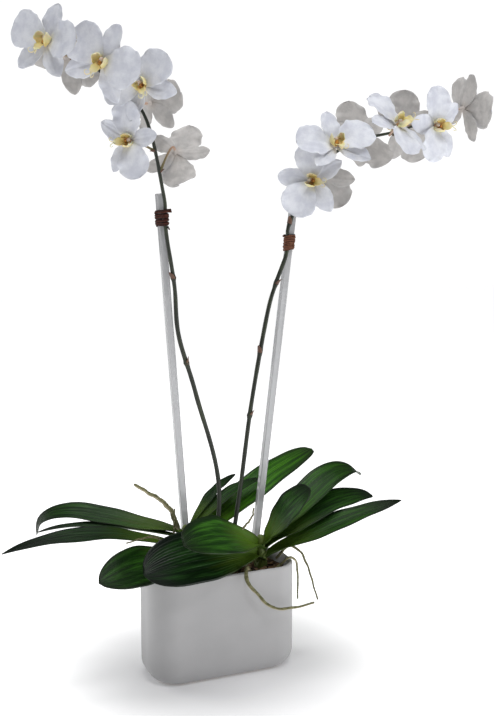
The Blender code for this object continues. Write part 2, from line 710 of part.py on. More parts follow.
def build_all():
    """Every sub-part of the orchid, in the order it would be potted."""
    ceramic = material("ceramic_matte_white", (0.72, 0.72, 0.71), 0.55)
    bark = material("bark_mix_brown", (0.10, 0.065, 0.04), 0.95)
    acrylic = material("acrylic_clear", (0.85, 0.88, 0.88), 0.05, transmission=0.9)
    raffia = material("raffia_red_brown", (0.28, 0.11, 0.06), 0.8)
    stem_green = material("stem_dark_green", (0.035, 0.05, 0.03), 0.5)
    petal_white = material("petal_white", (0.82, 0.81, 0.84), 0.55)
    lip_yellow = material("lip_yellow", (0.80, 0.62, 0.12), 0.5)
    leaf_green = material("leaf_green", (0.04, 0.12, 0.035), 0.4)
    crown_green = material("crown_green", (0.16, 0.22, 0.07), 0.5)
    root_olive = material("root_olive", (0.30, 0.29, 0.16), 0.7)

    build_pot(ceramic)
    build_mix(bark, build_sockets())
    for side, crown in CROWNS.items():
        name = f"crown_{side}"
        add_object(name, tube(name, crown_line(crown), crown_radii(crown), CROWN_SIDES), crown_green)
    for side, stake in STAKES.items():
        foot, top, _ = stake_axis(stake)
        name = f"stake_{side}"
        add_object(name, square_bar(name, foot, top, STAKE_SIDE), acrylic)
        build_spike(side, stem_green)
        build_tie(side, raffia)
        for number in range(1, len(FLOWERS[side]) + 1):
            build_perianth(side, number, petal_white)
            build_lip(side, number, lip_yellow)
    for name, leaf in LEAVES.items():
        build_leaf(name, leaf, leaf_green)
    for name, root in ROOTS.items():
        build_root(name, root, root_olive)


clear_scene()
build_all()
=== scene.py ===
# %% [markdown]
# # A potted moth orchid, piece by piece
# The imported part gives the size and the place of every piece. This lesson rebuilds each piece finer:
# silk-like petals with veins, channelled leaves, knotty roots, a matte pot. Everything is in metres,
# with the origin at the middle of the pot's flat base, +Z up, and the pot's front looking along -Y.

# %% Load the part
import math
from collections import namedtuple

import bmesh
import bpy
import numpy as np
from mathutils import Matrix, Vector


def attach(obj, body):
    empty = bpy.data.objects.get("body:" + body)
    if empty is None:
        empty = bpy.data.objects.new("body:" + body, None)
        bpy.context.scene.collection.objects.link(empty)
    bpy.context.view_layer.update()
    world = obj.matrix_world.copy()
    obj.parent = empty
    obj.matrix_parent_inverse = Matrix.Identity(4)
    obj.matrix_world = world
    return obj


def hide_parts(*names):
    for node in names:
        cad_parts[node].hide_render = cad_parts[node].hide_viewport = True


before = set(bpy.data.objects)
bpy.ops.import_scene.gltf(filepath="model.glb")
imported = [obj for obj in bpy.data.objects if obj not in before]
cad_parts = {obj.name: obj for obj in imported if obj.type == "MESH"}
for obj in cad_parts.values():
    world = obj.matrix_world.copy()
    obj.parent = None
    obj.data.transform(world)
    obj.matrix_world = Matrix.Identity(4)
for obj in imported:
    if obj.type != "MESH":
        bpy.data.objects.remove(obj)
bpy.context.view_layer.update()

MM = 0.001


def add_object(name, data):
    """A new object in the scene."""
    made = bpy.data.objects.new(name, data)
    bpy.context.scene.collection.objects.link(made)
    return made


# Each group of pieces draws from a seed of its own, so that a change to one leaves the others alone.
SEEDS = {
    "bark": 11, "spike_left": 21, "spike_right": 22, "tie_left": 31, "tie_right": 32,
    "crown_left": 61, "crown_right": 62, "bend_left": 10, "bend_right": 30, "petal_left": 100,
    "petal_right": 200, "lip_left": 300, "lip_right": 400, "leaf": 500, "root": 700,
}


def seeded(kind, number=0):
    """A random generator that gives the same draws every time."""
    return np.random.default_rng(SEEDS[kind] + number)


print("nodes in the part:", len(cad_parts))

# %% [markdown]
# ## The camera
# A long-ish lens at a low height shows the whole plant with little distortion. The camera is placed by a
# turn round the plant, a dip below the horizon and a distance, because those three are easy to reason
# about. The sensor's long side is the height here, so the lens length is worked out from it.

# %% Camera
CAMERA_TURN = math.radians(-22.5)
CAMERA_DIP = math.radians(8.0)
CAMERA_TARGET = Vector((0.041, 0.0, 0.398))
CAMERA_REACH = 1.25
SENSOR = 36.0
LENS = 50.28

camera_data = bpy.data.cameras.new("camera")
camera_data.sensor_width = SENSOR
camera_data.lens = LENS
camera = add_object("camera", camera_data)
toward_camera = Vector((math.sin(CAMERA_TURN) * math.cos(CAMERA_DIP),
                        -math.cos(CAMERA_TURN) * math.cos(CAMERA_DIP), math.sin(CAMERA_DIP)))
camera.location = CAMERA_TARGET + toward_camera * CAMERA_REACH
camera.rotation_mode = "QUATERNION"
camera.rotation_quaternion = (-toward_camera).to_track_quat("-Z", "Y")
bpy.context.scene.camera = camera
print("camera at", [round(value, 3) for value in camera.location])

# %% [markdown]
# ## Shader maths as plain sums
# A finish is easier to read as a formula than as a wall of nodes. `Value` wraps one output socket and
# turns +, -, * and ** into Math nodes. `Finish` makes a material, and its `node` method adds any other
# node: settings first, then the values or links of its sockets.

# %% Shader helpers
def both_ways(operation):
    """An operator's two methods: with the value on its left, and with the value on its right."""
    def left(self, other):
        return self.maths(operation, self, other)

    def right(self, other):
        return self.maths(operation, other, self)

    return left, right


class Value:
    """An output socket that takes part in sums, so that 1 - mask adds a Math node."""

    __add__, __radd__ = both_ways("ADD")
    __sub__, __rsub__ = both_ways("SUBTRACT")
    __mul__, __rmul__ = both_ways("MULTIPLY")
    __pow__ = both_ways("POWER")[0]

    def __init__(self, finish, socket):
        self.finish = finish
        self.socket = socket

    def maths(self, operation, first, second=0.0):
        return self.finish.node("ShaderNodeMath", {"operation": operation}, {0: first, 1: second})

    def __abs__(self):
        return self.maths("ABSOLUTE", self)

    def sine(self):
        return self.maths("SINE", self)

    def between(self, low, high):
        """0 at low, 1 at high, smooth in between."""
        settings = {"interpolation_type": "SMOOTHSTEP", "clamp": True}
        return self.finish.node("ShaderNodeMapRange", settings, {0: self, 1: low, 2: high})


class Finish:
    """A material whose nodes are written as expressions."""

    def __init__(self, name, **plain):
        self.material = bpy.data.materials.new(name)
        self.material.use_nodes = True
        self.tree = self.material.node_tree
        self.shader = self.tree.nodes["Principled BSDF"]
        self.feed({key.replace("_", " "): value for key, value in plain.items()})

    def node(self, kind, settings=None, sockets=None, output=0):
        made = self.tree.nodes.new(kind)
        for key, value in (settings or {}).items():
            if key == "stops":
                for extra in range(len(value) - 2):
                    made.color_ramp.elements.new(0.5)
                for element, (place, colour) in zip(made.color_ramp.elements, value):
                    element.position = place
                    element.color = (*colour, 1.0)
            else:
                setattr(made, key, value)
        self._join(made, sockets or {})
        return Value(self, made.outputs[output])

    def _join(self, made, sockets):
        for key, value in sockets.items():
            if isinstance(value, Value):
                self.tree.links.new(value.socket, made.inputs[key])
            elif isinstance(value, tuple) and made.inputs[key].type == "RGBA":
                made.inputs[key].default_value = (*value, 1.0)
            else:
                made.inputs[key].default_value = value

    def feed(self, sockets):
        """Sets or links sockets of the material's main shader."""
        self._join(self.shader, sockets)

    def place(self):
        """What each point knows: how far along (0 to 1), how far across (-1 to 1), and a third mark."""
        vector = self.node("ShaderNodeAttribute", {"attribute_name": "place"}, output=1)
        return [self.part(vector, k) for k in range(3)]

    def part(self, vector, k):
        """The x, y or z of a vector, for k of 0, 1 or 2."""
        return self.node("ShaderNodeSeparateXYZ", None, {0: vector}, output=k)

    def own(self):
        """A number from 0 to 1 that differs from one part of a piece to the next."""
        return self.node("ShaderNodeAttribute", {"attribute_name": "own"}, output=2)

    def where(self, stretch=(1.0, 1.0, 1.0)):
        """The object's own coordinates in metres, stretched if asked."""
        spot = self.node("ShaderNodeTexCoord", output=3)
        return self.node("ShaderNodeVectorMath", {"operation": "MULTIPLY"}, {0: spot, 1: stretch})

    def noise(self, scale, detail=3.0, rough=0.5, vector=None):
        sockets = {"Vector": vector or self.where(), "Scale": scale, "Detail": detail, "Roughness": rough}
        return self.node("ShaderNodeTexNoise", None, sockets)

    def mix(self, share, first, second):
        """A colour from first to second as share goes from 0 to 1."""
        return self.node("ShaderNodeMix", {"data_type": "RGBA", "clamp_factor": True},
                         {0: share, 6: first, 7: second}, output=2)

    def ramp(self, share, *stops):
        """A colour read from (place, colour) stops."""
        return self.node("ShaderNodeValToRGB", {"stops": stops}, {0: share})

    def bump(self, height, depth):
        """Relief of the given depth in metres."""
        sockets = {"Height": height, "Distance": depth, "Strength": 1.0}
        self.feed({"Normal": self.node("ShaderNodeBump", None, sockets)})


print("shader helpers ready")

# %% [markdown]
# ## Mesh code that every piece shares
# Stems, roots and strands are rings of points swept along a line. Petals and leaves are thin sheets: a
# middle surface moved a little to both sides and closed round its border, so that each is a real solid.
# `Shape` gathers such bodies into one piece, with the marks that the finishes read.

# %% Lines
def unit(vectors):
    """Vectors scaled to length one."""
    return vectors / np.linalg.norm(vectors, axis=-1, keepdims=True)


def tangents(line):
    """Unit directions along a line of points."""
    return unit(np.gradient(line, axis=0))


def curve_through(points, count):
    """A smooth curve through the points (Catmull-Rom), read at even steps."""
    points = np.asarray(points, float)
    padded = np.vstack([2 * points[0] - points[1], points, 2 * points[-1] - points[-2]])
    read = []
    for position in np.linspace(0, len(points) - 1, count):
        start = min(int(position), len(points) - 2)
        t = position - start
        a, b, c, d = padded[start:start + 4]
        read.append(0.5 * (2 * b + (c - a) * t + (2 * a - 5 * b + 4 * c - d) * t ** 2
                           + (3 * b - a - 3 * c + d) * t ** 3))
    return np.array(read)


def toward(bearing, rise):
    """The direction with a bearing (0 is the front, 90 the right) and a rise above level, in degrees."""
    turn, lift = math.radians(bearing), math.radians(rise)
    return np.array([math.sin(turn) * math.cos(lift), -math.cos(turn) * math.cos(lift), math.sin(lift)])


def resampled(line, count):
    """The same polyline read at even distances."""
    lengths = np.concatenate([[0], np.cumsum(np.linalg.norm(np.diff(line, axis=0), axis=1))])
    read = np.linspace(0, lengths[-1], count)
    return np.array([np.interp(read, lengths, line[:, k]) for k in range(3)]).T


def wobble(chance, places, waves, amount):
    """A smooth random variation along places, made of a few sine waves."""
    total = np.zeros_like(np.asarray(places, float))
    for wave in waves:
        total = total + np.sin(np.asarray(places) * wave * 2 * math.pi + chance.uniform(0, 2 * math.pi))
    return amount * total / len(waves)


# %% Bodies
class Shape:
    """Gathers closed bodies into one piece."""

    def __init__(self):
        self.points = []
        self.faces = []
        self.marks = []
        self.owns = []

    def add(self, points, faces, marks, own=0.0):
        start = len(self.points)
        self.points += [tuple(point) for point in points]
        self.marks += [tuple(mark) for mark in marks]
        self.owns += [own] * len(points)
        self.faces += [tuple(start + index for index in face) for face in faces]

    def add_rings(self, rings, marks=None, own=0.0):
        """A body skinned over closed rings of points, capped at both ends."""
        marks = np.zeros(rings.shape) if marks is None else marks
        count, sides = rings.shape[:2]
        faces = [tuple(range(sides)), tuple((count - 1) * sides + k for k in range(sides))]
        for low in range(0, (count - 1) * sides, sides):
            for k in range(sides):
                other = (k + 1) % sides
                faces.append((low + k, low + other, low + sides + other, low + sides + k))
        self.add(rings.reshape(-1, 3), faces, marks.reshape(-1, 3), own)

    def add_tube(self, line, radii, sides, part=0.0, own=0.0):
        """A round tube along a line, with the given third mark."""
        rings, marks = swept(line, radii, sides)
        marks[..., 2] = part
        self.add_rings(rings, marks, own)

    def add_sheet(self, middle, thickness, along, across, own=0.0):
        """A thin closed sheet round a grid of points. The third mark is 1 on its face and 0 behind."""
        rows, columns = middle.shape[:2]
        normal = unit(np.cross(np.gradient(middle, axis=1), np.gradient(middle, axis=0)) + 1e-15)
        skins = np.concatenate([middle + normal * thickness[..., None] / 2,
                                middle - normal * thickness[..., None] / 2])
        under = rows * columns
        faces = []
        for row in range(rows - 1):
            for column in range(columns - 1):
                a = row * columns + column
                faces.append((a, a + 1, a + columns + 1, a + columns))
                faces.append((under + a, under + a + columns, under + a + columns + 1, under + a + 1))
        border = ([k for k in range(columns)] + [row * columns + columns - 1 for row in range(1, rows)]
                  + [(rows - 1) * columns + k for k in range(columns - 2, -1, -1)]
                  + [row * columns for row in range(rows - 2, 0, -1)])
        for first, second in zip(border, border[1:] + border[:1]):
            faces.append((first, second, under + second, under + first))
        marks = [np.stack([along, across, np.full_like(along, level)], -1).reshape(-1, 3)
                 for level in (1.0, 0.0)]
        self.add(skins.reshape(-1, 3), faces, np.concatenate(marks), own)

    def make(self, name, finish, node, smooth_angle=180):
        """The finished piece: it rides on the part's body and stands for its CAD node."""
        mesh = bpy.data.meshes.new(name)
        mesh.from_pydata(self.points, [], self.faces)
        mesh.materials.append(finish.material)
        place = mesh.attributes.new("place", "FLOAT_VECTOR", "POINT")
        place.data.foreach_set("vector", np.ravel(self.marks))
        mesh.attributes.new("own", "FLOAT", "POINT").data.foreach_set("value", self.owns)
        shell = bmesh.new()
        shell.from_mesh(mesh)
        bmesh.ops.recalc_face_normals(shell, faces=shell.faces)
        shell.to_mesh(mesh)
        shell.free()
        mesh.shade_smooth()
        if smooth_angle < 180:
            mesh.set_sharp_from_angle(angle=math.radians(smooth_angle))
        piece = add_object(name, mesh)
        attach(piece, "root")
        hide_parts(node)
        return piece


def swept(line, radii, sides):
    """Round rings along a line: their points and their marks. There is one radius for each ring."""
    along = tangents(line)
    side = unit(np.cross(along[0], (0.31, 0.17, 0.93) if abs(along[0][2]) < 0.9 else (1, 0, 0)))
    turns = np.arange(sides) * 2 * math.pi / sides
    rings = []
    for centre, forward, radius in zip(line, along, radii):
        side = unit(side - forward * (side @ forward))
        over = np.cross(forward, side)
        round_about = np.outer(np.cos(turns), side) + np.outer(np.sin(turns), over)
        rings.append(centre + radius * round_about)
    share = np.repeat(np.linspace(0, 1, len(line))[:, None], sides, axis=1)
    around = np.repeat(np.cos(turns)[None], len(line), axis=0)
    return np.array(rings), np.stack([share, around, np.zeros_like(share)], -1)


ROUND_END = np.radians([80, 60, 40, 20])


def rounded(line, radii):
    """A line and its radii with a half-round end added to each end."""
    line, radii = np.asarray(line, float), np.asarray(radii, float)
    along = tangents(line)
    head = [line[0] - along[0] * radii[0] * math.sin(turn) for turn in ROUND_END]
    tail = [line[-1] + along[-1] * radii[-1] * math.sin(turn) for turn in ROUND_END[::-1]]
    head_radii = radii[0] * np.cos(ROUND_END)
    tail_radii = radii[-1] * np.cos(ROUND_END[::-1])
    return np.vstack([head, line, tail]), np.concatenate([head_radii, radii, tail_radii])


def outline_width(s, widest, fullness, base):
    """Half-width of a petal or leaf as a fraction of its largest, s running from base to tip."""
    if s < widest:
        return base + (1 - base) * math.sin(0.5 * math.pi * s / widest) ** 1.1
    return max(0.03, (1 - ((s - widest) / (1 - widest)) ** fullness) ** (1 / fullness))


print("mesh helpers ready")

# %% [markdown]
# ## The pot
# The real pot is a cast ceramic trough with a rounded foot, upright walls, large round corners and a
# softly rolled rim. It could be a cube with a bevel and a shell, but rings of points that follow one
# rounded outline, each set in a little by its height, give the foot, the rim and the cavity in one go.

# %% Pot shape
POT_LENGTH = 0.194
POT_DEPTH = 0.088
POT_HEIGHT = 0.136
POT_WALL = 0.005
POT_FLOOR = 0.008
POT_CORNER = 0.033
FOOT_ROUND_END = 0.021
FOOT_ROUND_FRONT = 0.014
FOOT_ROUND_HEIGHT = 0.021
RIM_ROUND = 0.0024


def rounded_outline(half_x, half_y, corner, height, steps=14, straight=10):
    """Points round a rectangle with round corners, with extra points along its sides."""
    arcs = []
    for sign_x, sign_y, start in ((1, 1, 0), (-1, 1, 90), (-1, -1, 180), (1, -1, 270)):
        turns = np.radians(np.linspace(start, start + 90, steps + 1))
        arcs.append(np.stack([sign_x * (half_x - corner) + corner * np.cos(turns),
                              sign_y * (half_y - corner) + corner * np.sin(turns)], -1))
    points = []
    for arc, following in zip(arcs, arcs[1:] + arcs[:1]):
        points += list(arc)
        points += [arc[-1] + (following[0] - arc[-1]) * step / straight for step in range(1, straight)]
    return np.array([(x, y, height) for x, y in points])


def foot_inset(height):
    """Fraction of the foot rounding still left at a height."""
    rise = min(1.0, max(0.0, height / FOOT_ROUND_HEIGHT))
    return 1 - math.sqrt(1 - (1 - rise) ** 2)


def wall_ring(inward, height, foot=None):
    """One level of the pot's wall, moved inward from its outer face."""
    left = foot_inset(height if foot is None else foot)
    corner = max(0.004, POT_CORNER - inward - 0.6 * FOOT_ROUND_FRONT * left)
    return rounded_outline(POT_LENGTH / 2 - inward - FOOT_ROUND_END * left,
                           POT_DEPTH / 2 - inward - FOOT_ROUND_FRONT * left, corner, height)


pot_rings = [wall_ring(FOOT_ROUND_FRONT * 1.2, 0.0), wall_ring(0.0012, 0.0)]
for step in np.linspace(0.02, 1, 12) ** 1.6:
    pot_rings.append(wall_ring(0, FOOT_ROUND_HEIGHT * step))
for height in np.linspace(FOOT_ROUND_HEIGHT, POT_HEIGHT - RIM_ROUND, 10)[1:]:
    pot_rings.append(wall_ring(0, height))
for turn in np.radians(np.linspace(15, 165, 9)):
    inward = POT_WALL / 2 * (1 - math.cos(turn))
    pot_rings.append(wall_ring(inward, POT_HEIGHT - RIM_ROUND * (1 - math.sin(turn))))
for height in np.linspace(POT_HEIGHT - RIM_ROUND, POT_FLOOR + FOOT_ROUND_HEIGHT, 6):
    pot_rings.append(wall_ring(POT_WALL, height))
for step in np.linspace(1, 0, 7)[1:] ** 1.6:
    pot_rings.append(wall_ring(POT_WALL, POT_FLOOR + FOOT_ROUND_HEIGHT * step, FOOT_ROUND_HEIGHT * step))
pot_rings = np.array(pot_rings)
print("pot rings:", pot_rings.shape)

# %% [markdown]
# ## The pot's finish
# The glaze is matte and pale grey, with a faint cloudiness and a very fine grain. The foot is left
# unglazed, and a thin dark tan line where the pot meets the table is partly that bare foot and partly
# painted contact shade: it comes from the height alone.

# %% Matte ceramic
ceramic = Finish("matte_ceramic", Roughness=0.5, Specular_IOR_Level=0.35)
cloud = ceramic.noise(14.0, 4.0)
height_up = ceramic.part(ceramic.where(), 2)
glaze = ceramic.mix(cloud.between(0.3, 0.7), (0.415, 0.413, 0.418), (0.455, 0.453, 0.458))
# The foot band is partly the unglazed foot's own tan and partly painted contact shade where the pot meets
# the table.
unglazed_foot_and_contact_shade = 1 - (height_up + 0.0008 * cloud).between(0.0012, 0.0030)
ceramic.feed({"Base Color": ceramic.mix(unglazed_foot_and_contact_shade, glaze, (0.33, 0.27, 0.20)),
              "Roughness": 0.46 + 0.12 * cloud + 0.2 * unglazed_foot_and_contact_shade})
ceramic.bump(ceramic.noise(900.0, 2.0) + 3.0 * ceramic.noise(60.0, 2.0), 0.00004)

pot_shape = Shape()
pot_shape.add_rings(pot_rings)
pot_shape.make("pot_detail", ceramic, "pot", 50)
print("pot faces:", len(pot_shape.faces))

# %% [markdown]
# ## The planting mix
# Orchids stand in chips of bark. One bumpy bed fills the pot, and a few hundred separate chips lie on it,
# each a squashed, jittered lump with its own shade. They are scattered by a seeded random generator, so
# that they fall in the same place every time.

# %% What is planted where
Stake = namedtuple("Stake", "top bottom")
STAKES = {
    "left": Stake((-68, 10, 600), (-35, 25, 190)),
    "right": Stake((108, 10, 585), (64, 20, 180)),
}
Crown = namedtuple("Crown", "place foot top radius")
CROWNS = {
    "left": Crown((-40, 5), 90, 186, 8),
    "right": Crown((60, 0), 90, 162, 9),
}
STAKE_SIDE = 0.0085
STAKE_FOOT = 0.030
MIX_TOP = 0.120
MIX_MOUND = 0.006
MIX_CLEAR = 0.0004


def stake_axis(stake):
    """A stake's centre line in metres, run down to its foot."""
    top = np.array(stake.top) * MM
    low = np.array(stake.bottom) * MM
    lean = (top - low) / (top[2] - low[2])
    return top + lean * (STAKE_FOOT - top[2]), top, unit(lean)


def mix_height(x, y):
    """Height of the planting mix's surface."""
    return MIX_TOP + MIX_MOUND * (1 - (x / (POT_LENGTH / 2)) ** 2) * (1 - (y / (POT_DEPTH / 2)) ** 2)


# %% Bark bed and chips
bark = Finish("bark_chips", Roughness=0.95, Specular_IOR_Level=0.2)
grain = bark.noise(160.0, 6.0, 0.65, bark.where((1.0, 1.0, 2.5)))
shade = bark.own() * 0.7 + grain * 0.5
bark.feed({"Base Color": bark.ramp(
    shade, (0.15, (0.012, 0.008, 0.006)), (0.45, (0.055, 0.032, 0.018)), (0.7, (0.13, 0.075, 0.038)),
    (1.0, (0.22, 0.15, 0.09)))})
bark.bump(grain, 0.0012)

chance = seeded("bark")
mix_shape = Shape()
bed_rings = [wall_ring(POT_WALL + MIX_CLEAR, 0.0, FOOT_ROUND_HEIGHT * 0.3) + (0, 0, POT_FLOOR + 0.007),
             wall_ring(POT_WALL + MIX_CLEAR, 0.04)]
for share in (1.0, 0.93, 0.8, 0.66, 0.5, 0.35, 0.2, 0.08):
    ring = wall_ring(POT_WALL + MIX_CLEAR, POT_HEIGHT) * (share, share, 0)
    ring[:, 2] = [mix_height(x, y) for x, y, _ in ring]
    if share < 1:
        ring[:, 2] += chance.normal(0, 0.0012, len(ring))
    bed_rings.append(ring)
mix_shape.add_rings(np.array(bed_rings))

CHIP_COUNT = 330
lump_turns = np.arange(7) * 2 * math.pi / 7
placed = 0
while placed < CHIP_COUNT:
    x = chance.uniform(-1, 1) * (POT_LENGTH / 2 - POT_WALL - 0.008)
    y = chance.uniform(-1, 1) * (POT_DEPTH / 2 - POT_WALL - 0.006)
    beyond = np.maximum(np.abs((x, y)) - (POT_LENGTH / 2 - POT_CORNER, POT_DEPTH / 2 - POT_CORNER), 0)
    if np.hypot(*beyond) > POT_CORNER - POT_WALL - 0.006:
        continue
    length, breadth, depth = chance.uniform((0.004, 0.0025, 0.0012), (0.0075, 0.0045, 0.0022))
    spin = chance.uniform(0, math.pi)
    tilt = chance.normal(0, 0.3, 2)
    axis_x = unit(np.array([math.cos(spin), math.sin(spin), tilt[0]]))
    axis_y = unit(np.cross((tilt[1], 0.0, 1.0), axis_x))
    axis_z = np.cross(axis_x, axis_y)
    centre = np.array([x, y, mix_height(x, y) + chance.uniform(0.0, 0.0035)])
    rings = []
    for height, spread in ((-1, 0.75), (-0.55, 1.0), (0.5, 0.95), (1, 0.6)):
        reach = spread * chance.uniform(0.75, 1.1, len(lump_turns))
        rings.append(centre + np.outer(reach * np.cos(lump_turns) * length, axis_x)
                     + np.outer(reach * np.sin(lump_turns) * breadth, axis_y) + axis_z * height * depth)
    rings = np.array(rings)
    if rings[..., 2].max() > POT_HEIGHT - 0.003:
        continue
    mix_shape.add_rings(rings, own=chance.uniform(0, 1))
    placed += 1
mix_shape.make("bark_mix", bark, "potting_mix", 35)
print("bark chips:", placed)

# %% [markdown]
# ## The clear stakes
# Each stake is a square acrylic rod with sawn ends and slightly eased edges. Eased edges matter in glass
# and acrylic, because the bright line along them is what the eye reads as an edge.

# %% Acrylic rods
acrylic = Finish("clear_acrylic", Roughness=0.06, IOR=1.49, Transmission_Weight=0.35)
acrylic.feed({"Base Color": (0.60, 0.605, 0.62)})
STAKE_EASE = 0.0009


def square_ring(centre, right, back, half, ease):
    """Eight points round a square with cut corners."""
    inner = half - ease
    spots = ((half, -inner), (half, inner), (inner, half), (-inner, half),
             (-half, inner), (-half, -inner), (-inner, -half), (inner, -half))
    return np.array([centre + right * a + back * b for a, b in spots])


for side, stake in STAKES.items():
    foot, top, lean = stake_axis(stake)
    right = unit(np.cross((0, 1, 0), lean))
    back = np.cross(lean, right)
    half = STAKE_SIDE / 2
    levels = [(foot, half - STAKE_EASE), (foot + lean * STAKE_EASE, half)]
    levels += [(foot + (top - foot) * share, half) for share in np.linspace(0.1, 0.9, 9)]
    levels += [(top - lean * STAKE_EASE * 0.6, half), (top, half - STAKE_EASE * 0.6)]
    rings = np.array([square_ring(centre, right, back, reach, STAKE_EASE) for centre, reach in levels])
    stake_shape = Shape()
    stake_shape.add_rings(rings)
    stake_shape.make(f"stake_{side}_rod", acrylic, f"stake_{side}", 20)
    print(f"{side} stake:", round(float(np.linalg.norm(top - foot)), 3), "m long")

# %% [markdown]
# ## The flower spikes
# A spike is one long stem that leans on its stake and then arches over. It has a ringed joint with a small
# dry bract every hand's breadth, and a thin stalk for each flower, green below and rosy brown where it
# meets the bloom. The flowers' places are needed first, because the stalks end there.

# %% Spike routes and flower places
# A spike: where it is planted, the points it sways through, the heights between which it runs beside its
# stake, how far it stands off the stake's axis there, the points its arch goes over, its tie's height and
# the heights of its joints.
Spike = namedtuple("Spike", "foot sway beside standoff arch tie_height joints")
SPIKES = {
    "left": Spike((-10, 15), [(5, 5, 230), (-25, 5, 355), (-47, 5, 430), (-52, 4, 490)],
                  (550, 600), (2, -10), [(-90, -5, 690), (-140, -5, 735), (-190, -15, 755)], 570,
                  (395, 500)),
    "right": Spike((10, 5), [(30, 0, 220), (47, 0, 340), (68, 0, 450), (80, 0, 490)],
                   (525, 565), (-6, -8), [(130, 0, 625), (185, 5, 665), (265, 15, 685), (340, 20, 710)],
                   540, (325, 405, 490, 565)),
}
STEM_RADIUS = 0.0028
STEM_TIP_RADIUS = 0.0015
STEM_TAPER_FROM = 0.45
PEDICEL_RADIUS = 0.0013
PEDICEL_BEND = 0.45
SPIKE_FOOT = 0.085
RECEPTACLE_DEPTH = 0.006

# A flower: where its stalk leaves the arch (0 at the tie, 1 at the tip), the stalk's bearing, rise and
# length, the bearing and rise of the way the bloom looks, the clockwise roll of its top sepal, its size
# and how far its tepals close forward.
Flower = namedtuple("Flower", "share stalk_bearing stalk_rise stalk bearing rise roll size closed")
FLOWERS = {
    "left": [
        Flower(0.22, 120, 42, 38, 150, -38, -90, 0.95, 0),
        Flower(0.32, -65, 14, 40, -45, 0, 80, 0.92, 5),
        Flower(0.58, 135, 0, 38, 120, 5, 0, 0.90, 10),
        Flower(0.66, 30, -2, 34, -38, 5, -28, 0.94, 5),
        Flower(0.76, -15, 12, 36, -38, 0, 32, 1.02, 0),
        Flower(0.91, -170, 10, 30, 145, 0, -40, 0.98, 0),
        Flower(1.00, -35, 5, 26, -48, 15, 15, 1.00, 5),
    ],
    "right": [
        Flower(0.15, 15, 45, 40, -30, 5, -75, 0.98, 5),
        Flower(0.28, 125, 0, 32, 125, 0, 135, 0.92, 10),
        Flower(0.34, -5, 25, 48, -10, 35, -10, 1.05, 10),
        Flower(0.62, 180, 8, 34, 175, -25, -60, 1.05, 0),
        Flower(0.72, -25, 5, 42, 25, 40, -86, 1.08, -5),
        Flower(0.84, 180, 0, 30, 165, 0, -75, 1.05, 5),
        Flower(0.88, 0, -15, 28, 5, 0, -85, 1.02, 5),
        Flower(1.00, 90, 15, 25, 90, 5, -25, 1.08, 5),
    ],
}


def spike_line(side, count=31):
    """A spike's centre line in metres: planted, swaying, beside its stake, then arching over."""
    spike = SPIKES[side]
    foot, top, _ = stake_axis(STAKES[side])
    beside = []
    for height in np.linspace(*spike.beside, 3) * MM:
        share = (height - foot[2]) / (top[2] - foot[2])
        beside.append((foot + (top - foot) * share) / MM + (*spike.standoff, 0))
    knots = [(*spike.foot, SPIKE_FOOT / MM), *spike.sway, *beside, *spike.arch]
    return resampled(curve_through(np.array(knots) * MM, 12 * len(knots)), count)


def arch_point(side, share):
    """The point of a spike's arch at a share of the way from its tie to its tip."""
    line = spike_line(side, 401)
    arch = line[line[:, 2] >= SPIKES[side].tie_height * MM]
    return arch[int(round(share * (len(arch) - 1)))]


def flower_centre(side, flower):
    """A bloom's centre, at the end of its stalk."""
    stalk = toward(flower.stalk_bearing, flower.stalk_rise) * flower.stalk * MM
    return arch_point(side, flower.share) + stalk


def flower_axes(flower):
    """Right, up and outward directions of a flower, its roll included."""
    outward = toward(flower.bearing, flower.rise)
    right = toward(flower.bearing + 90, 0)
    roll = math.radians(flower.roll)
    rolled_up = np.cross(outward, right) * math.cos(roll) + right * math.sin(roll)
    return np.array([np.cross(rolled_up, outward), rolled_up, outward])


def point_at_height(line, height):
    """Where a rising line passes a height."""
    return np.array([np.interp(height, line[:, 2], line[:, k]) for k in range(3)])


print("flowers:", {side: len(flowers) for side, flowers in FLOWERS.items()})

# %% [markdown]
# ## Stem finish
# The third mark tells the stem (0) from a flower stalk (1) and from a bract (0.5). The stem is nearly
# black-green with paler flecks along it, and a stalk turns from green to rosy brown along its length.

# %% Stem green
stem_green = Finish("stem_green", Roughness=0.5, Specular_IOR_Level=0.45)
along, around, part = stem_green.place()
fleck = stem_green.noise(120.0, 4.0, 0.6, stem_green.where((1.0, 1.0, 0.25)))
stem_colour = stem_green.mix(fleck.between(0.42, 0.75), (0.010, 0.014, 0.008), (0.034, 0.044, 0.020))
stalk_colour = stem_green.ramp(
    along, (0.0, (0.06, 0.07, 0.025)), (0.3, (0.16, 0.13, 0.06)), (0.6, (0.34, 0.21, 0.14)),
    (1.0, (0.52, 0.38, 0.31)))
bract_colour = stem_green.mix(fleck.between(0.35, 0.7), (0.07, 0.028, 0.018), (0.16, 0.08, 0.045))
green_or_stalk = stem_green.mix(part.between(0.6, 0.9), stem_colour, stalk_colour)
is_bract = part.between(0.3, 0.45) * (1 - part.between(0.55, 0.7))
stem_green.feed({"Base Color": stem_green.mix(is_bract, green_or_stalk, bract_colour)})
stem_green.bump(fleck, 0.0003)


# %% Stems, joints, bracts and stalks
STEM_POINTS = 190
JOINT_SPREAD = 0.0022
JOINT_SWELL = 0.0011
BRACT_THICKNESS = 0.0004
BRACT_ROWS = 9
BRACT_COLUMNS = 7
BRACT_MARK = 0.5
STALK_MARK = 1.0


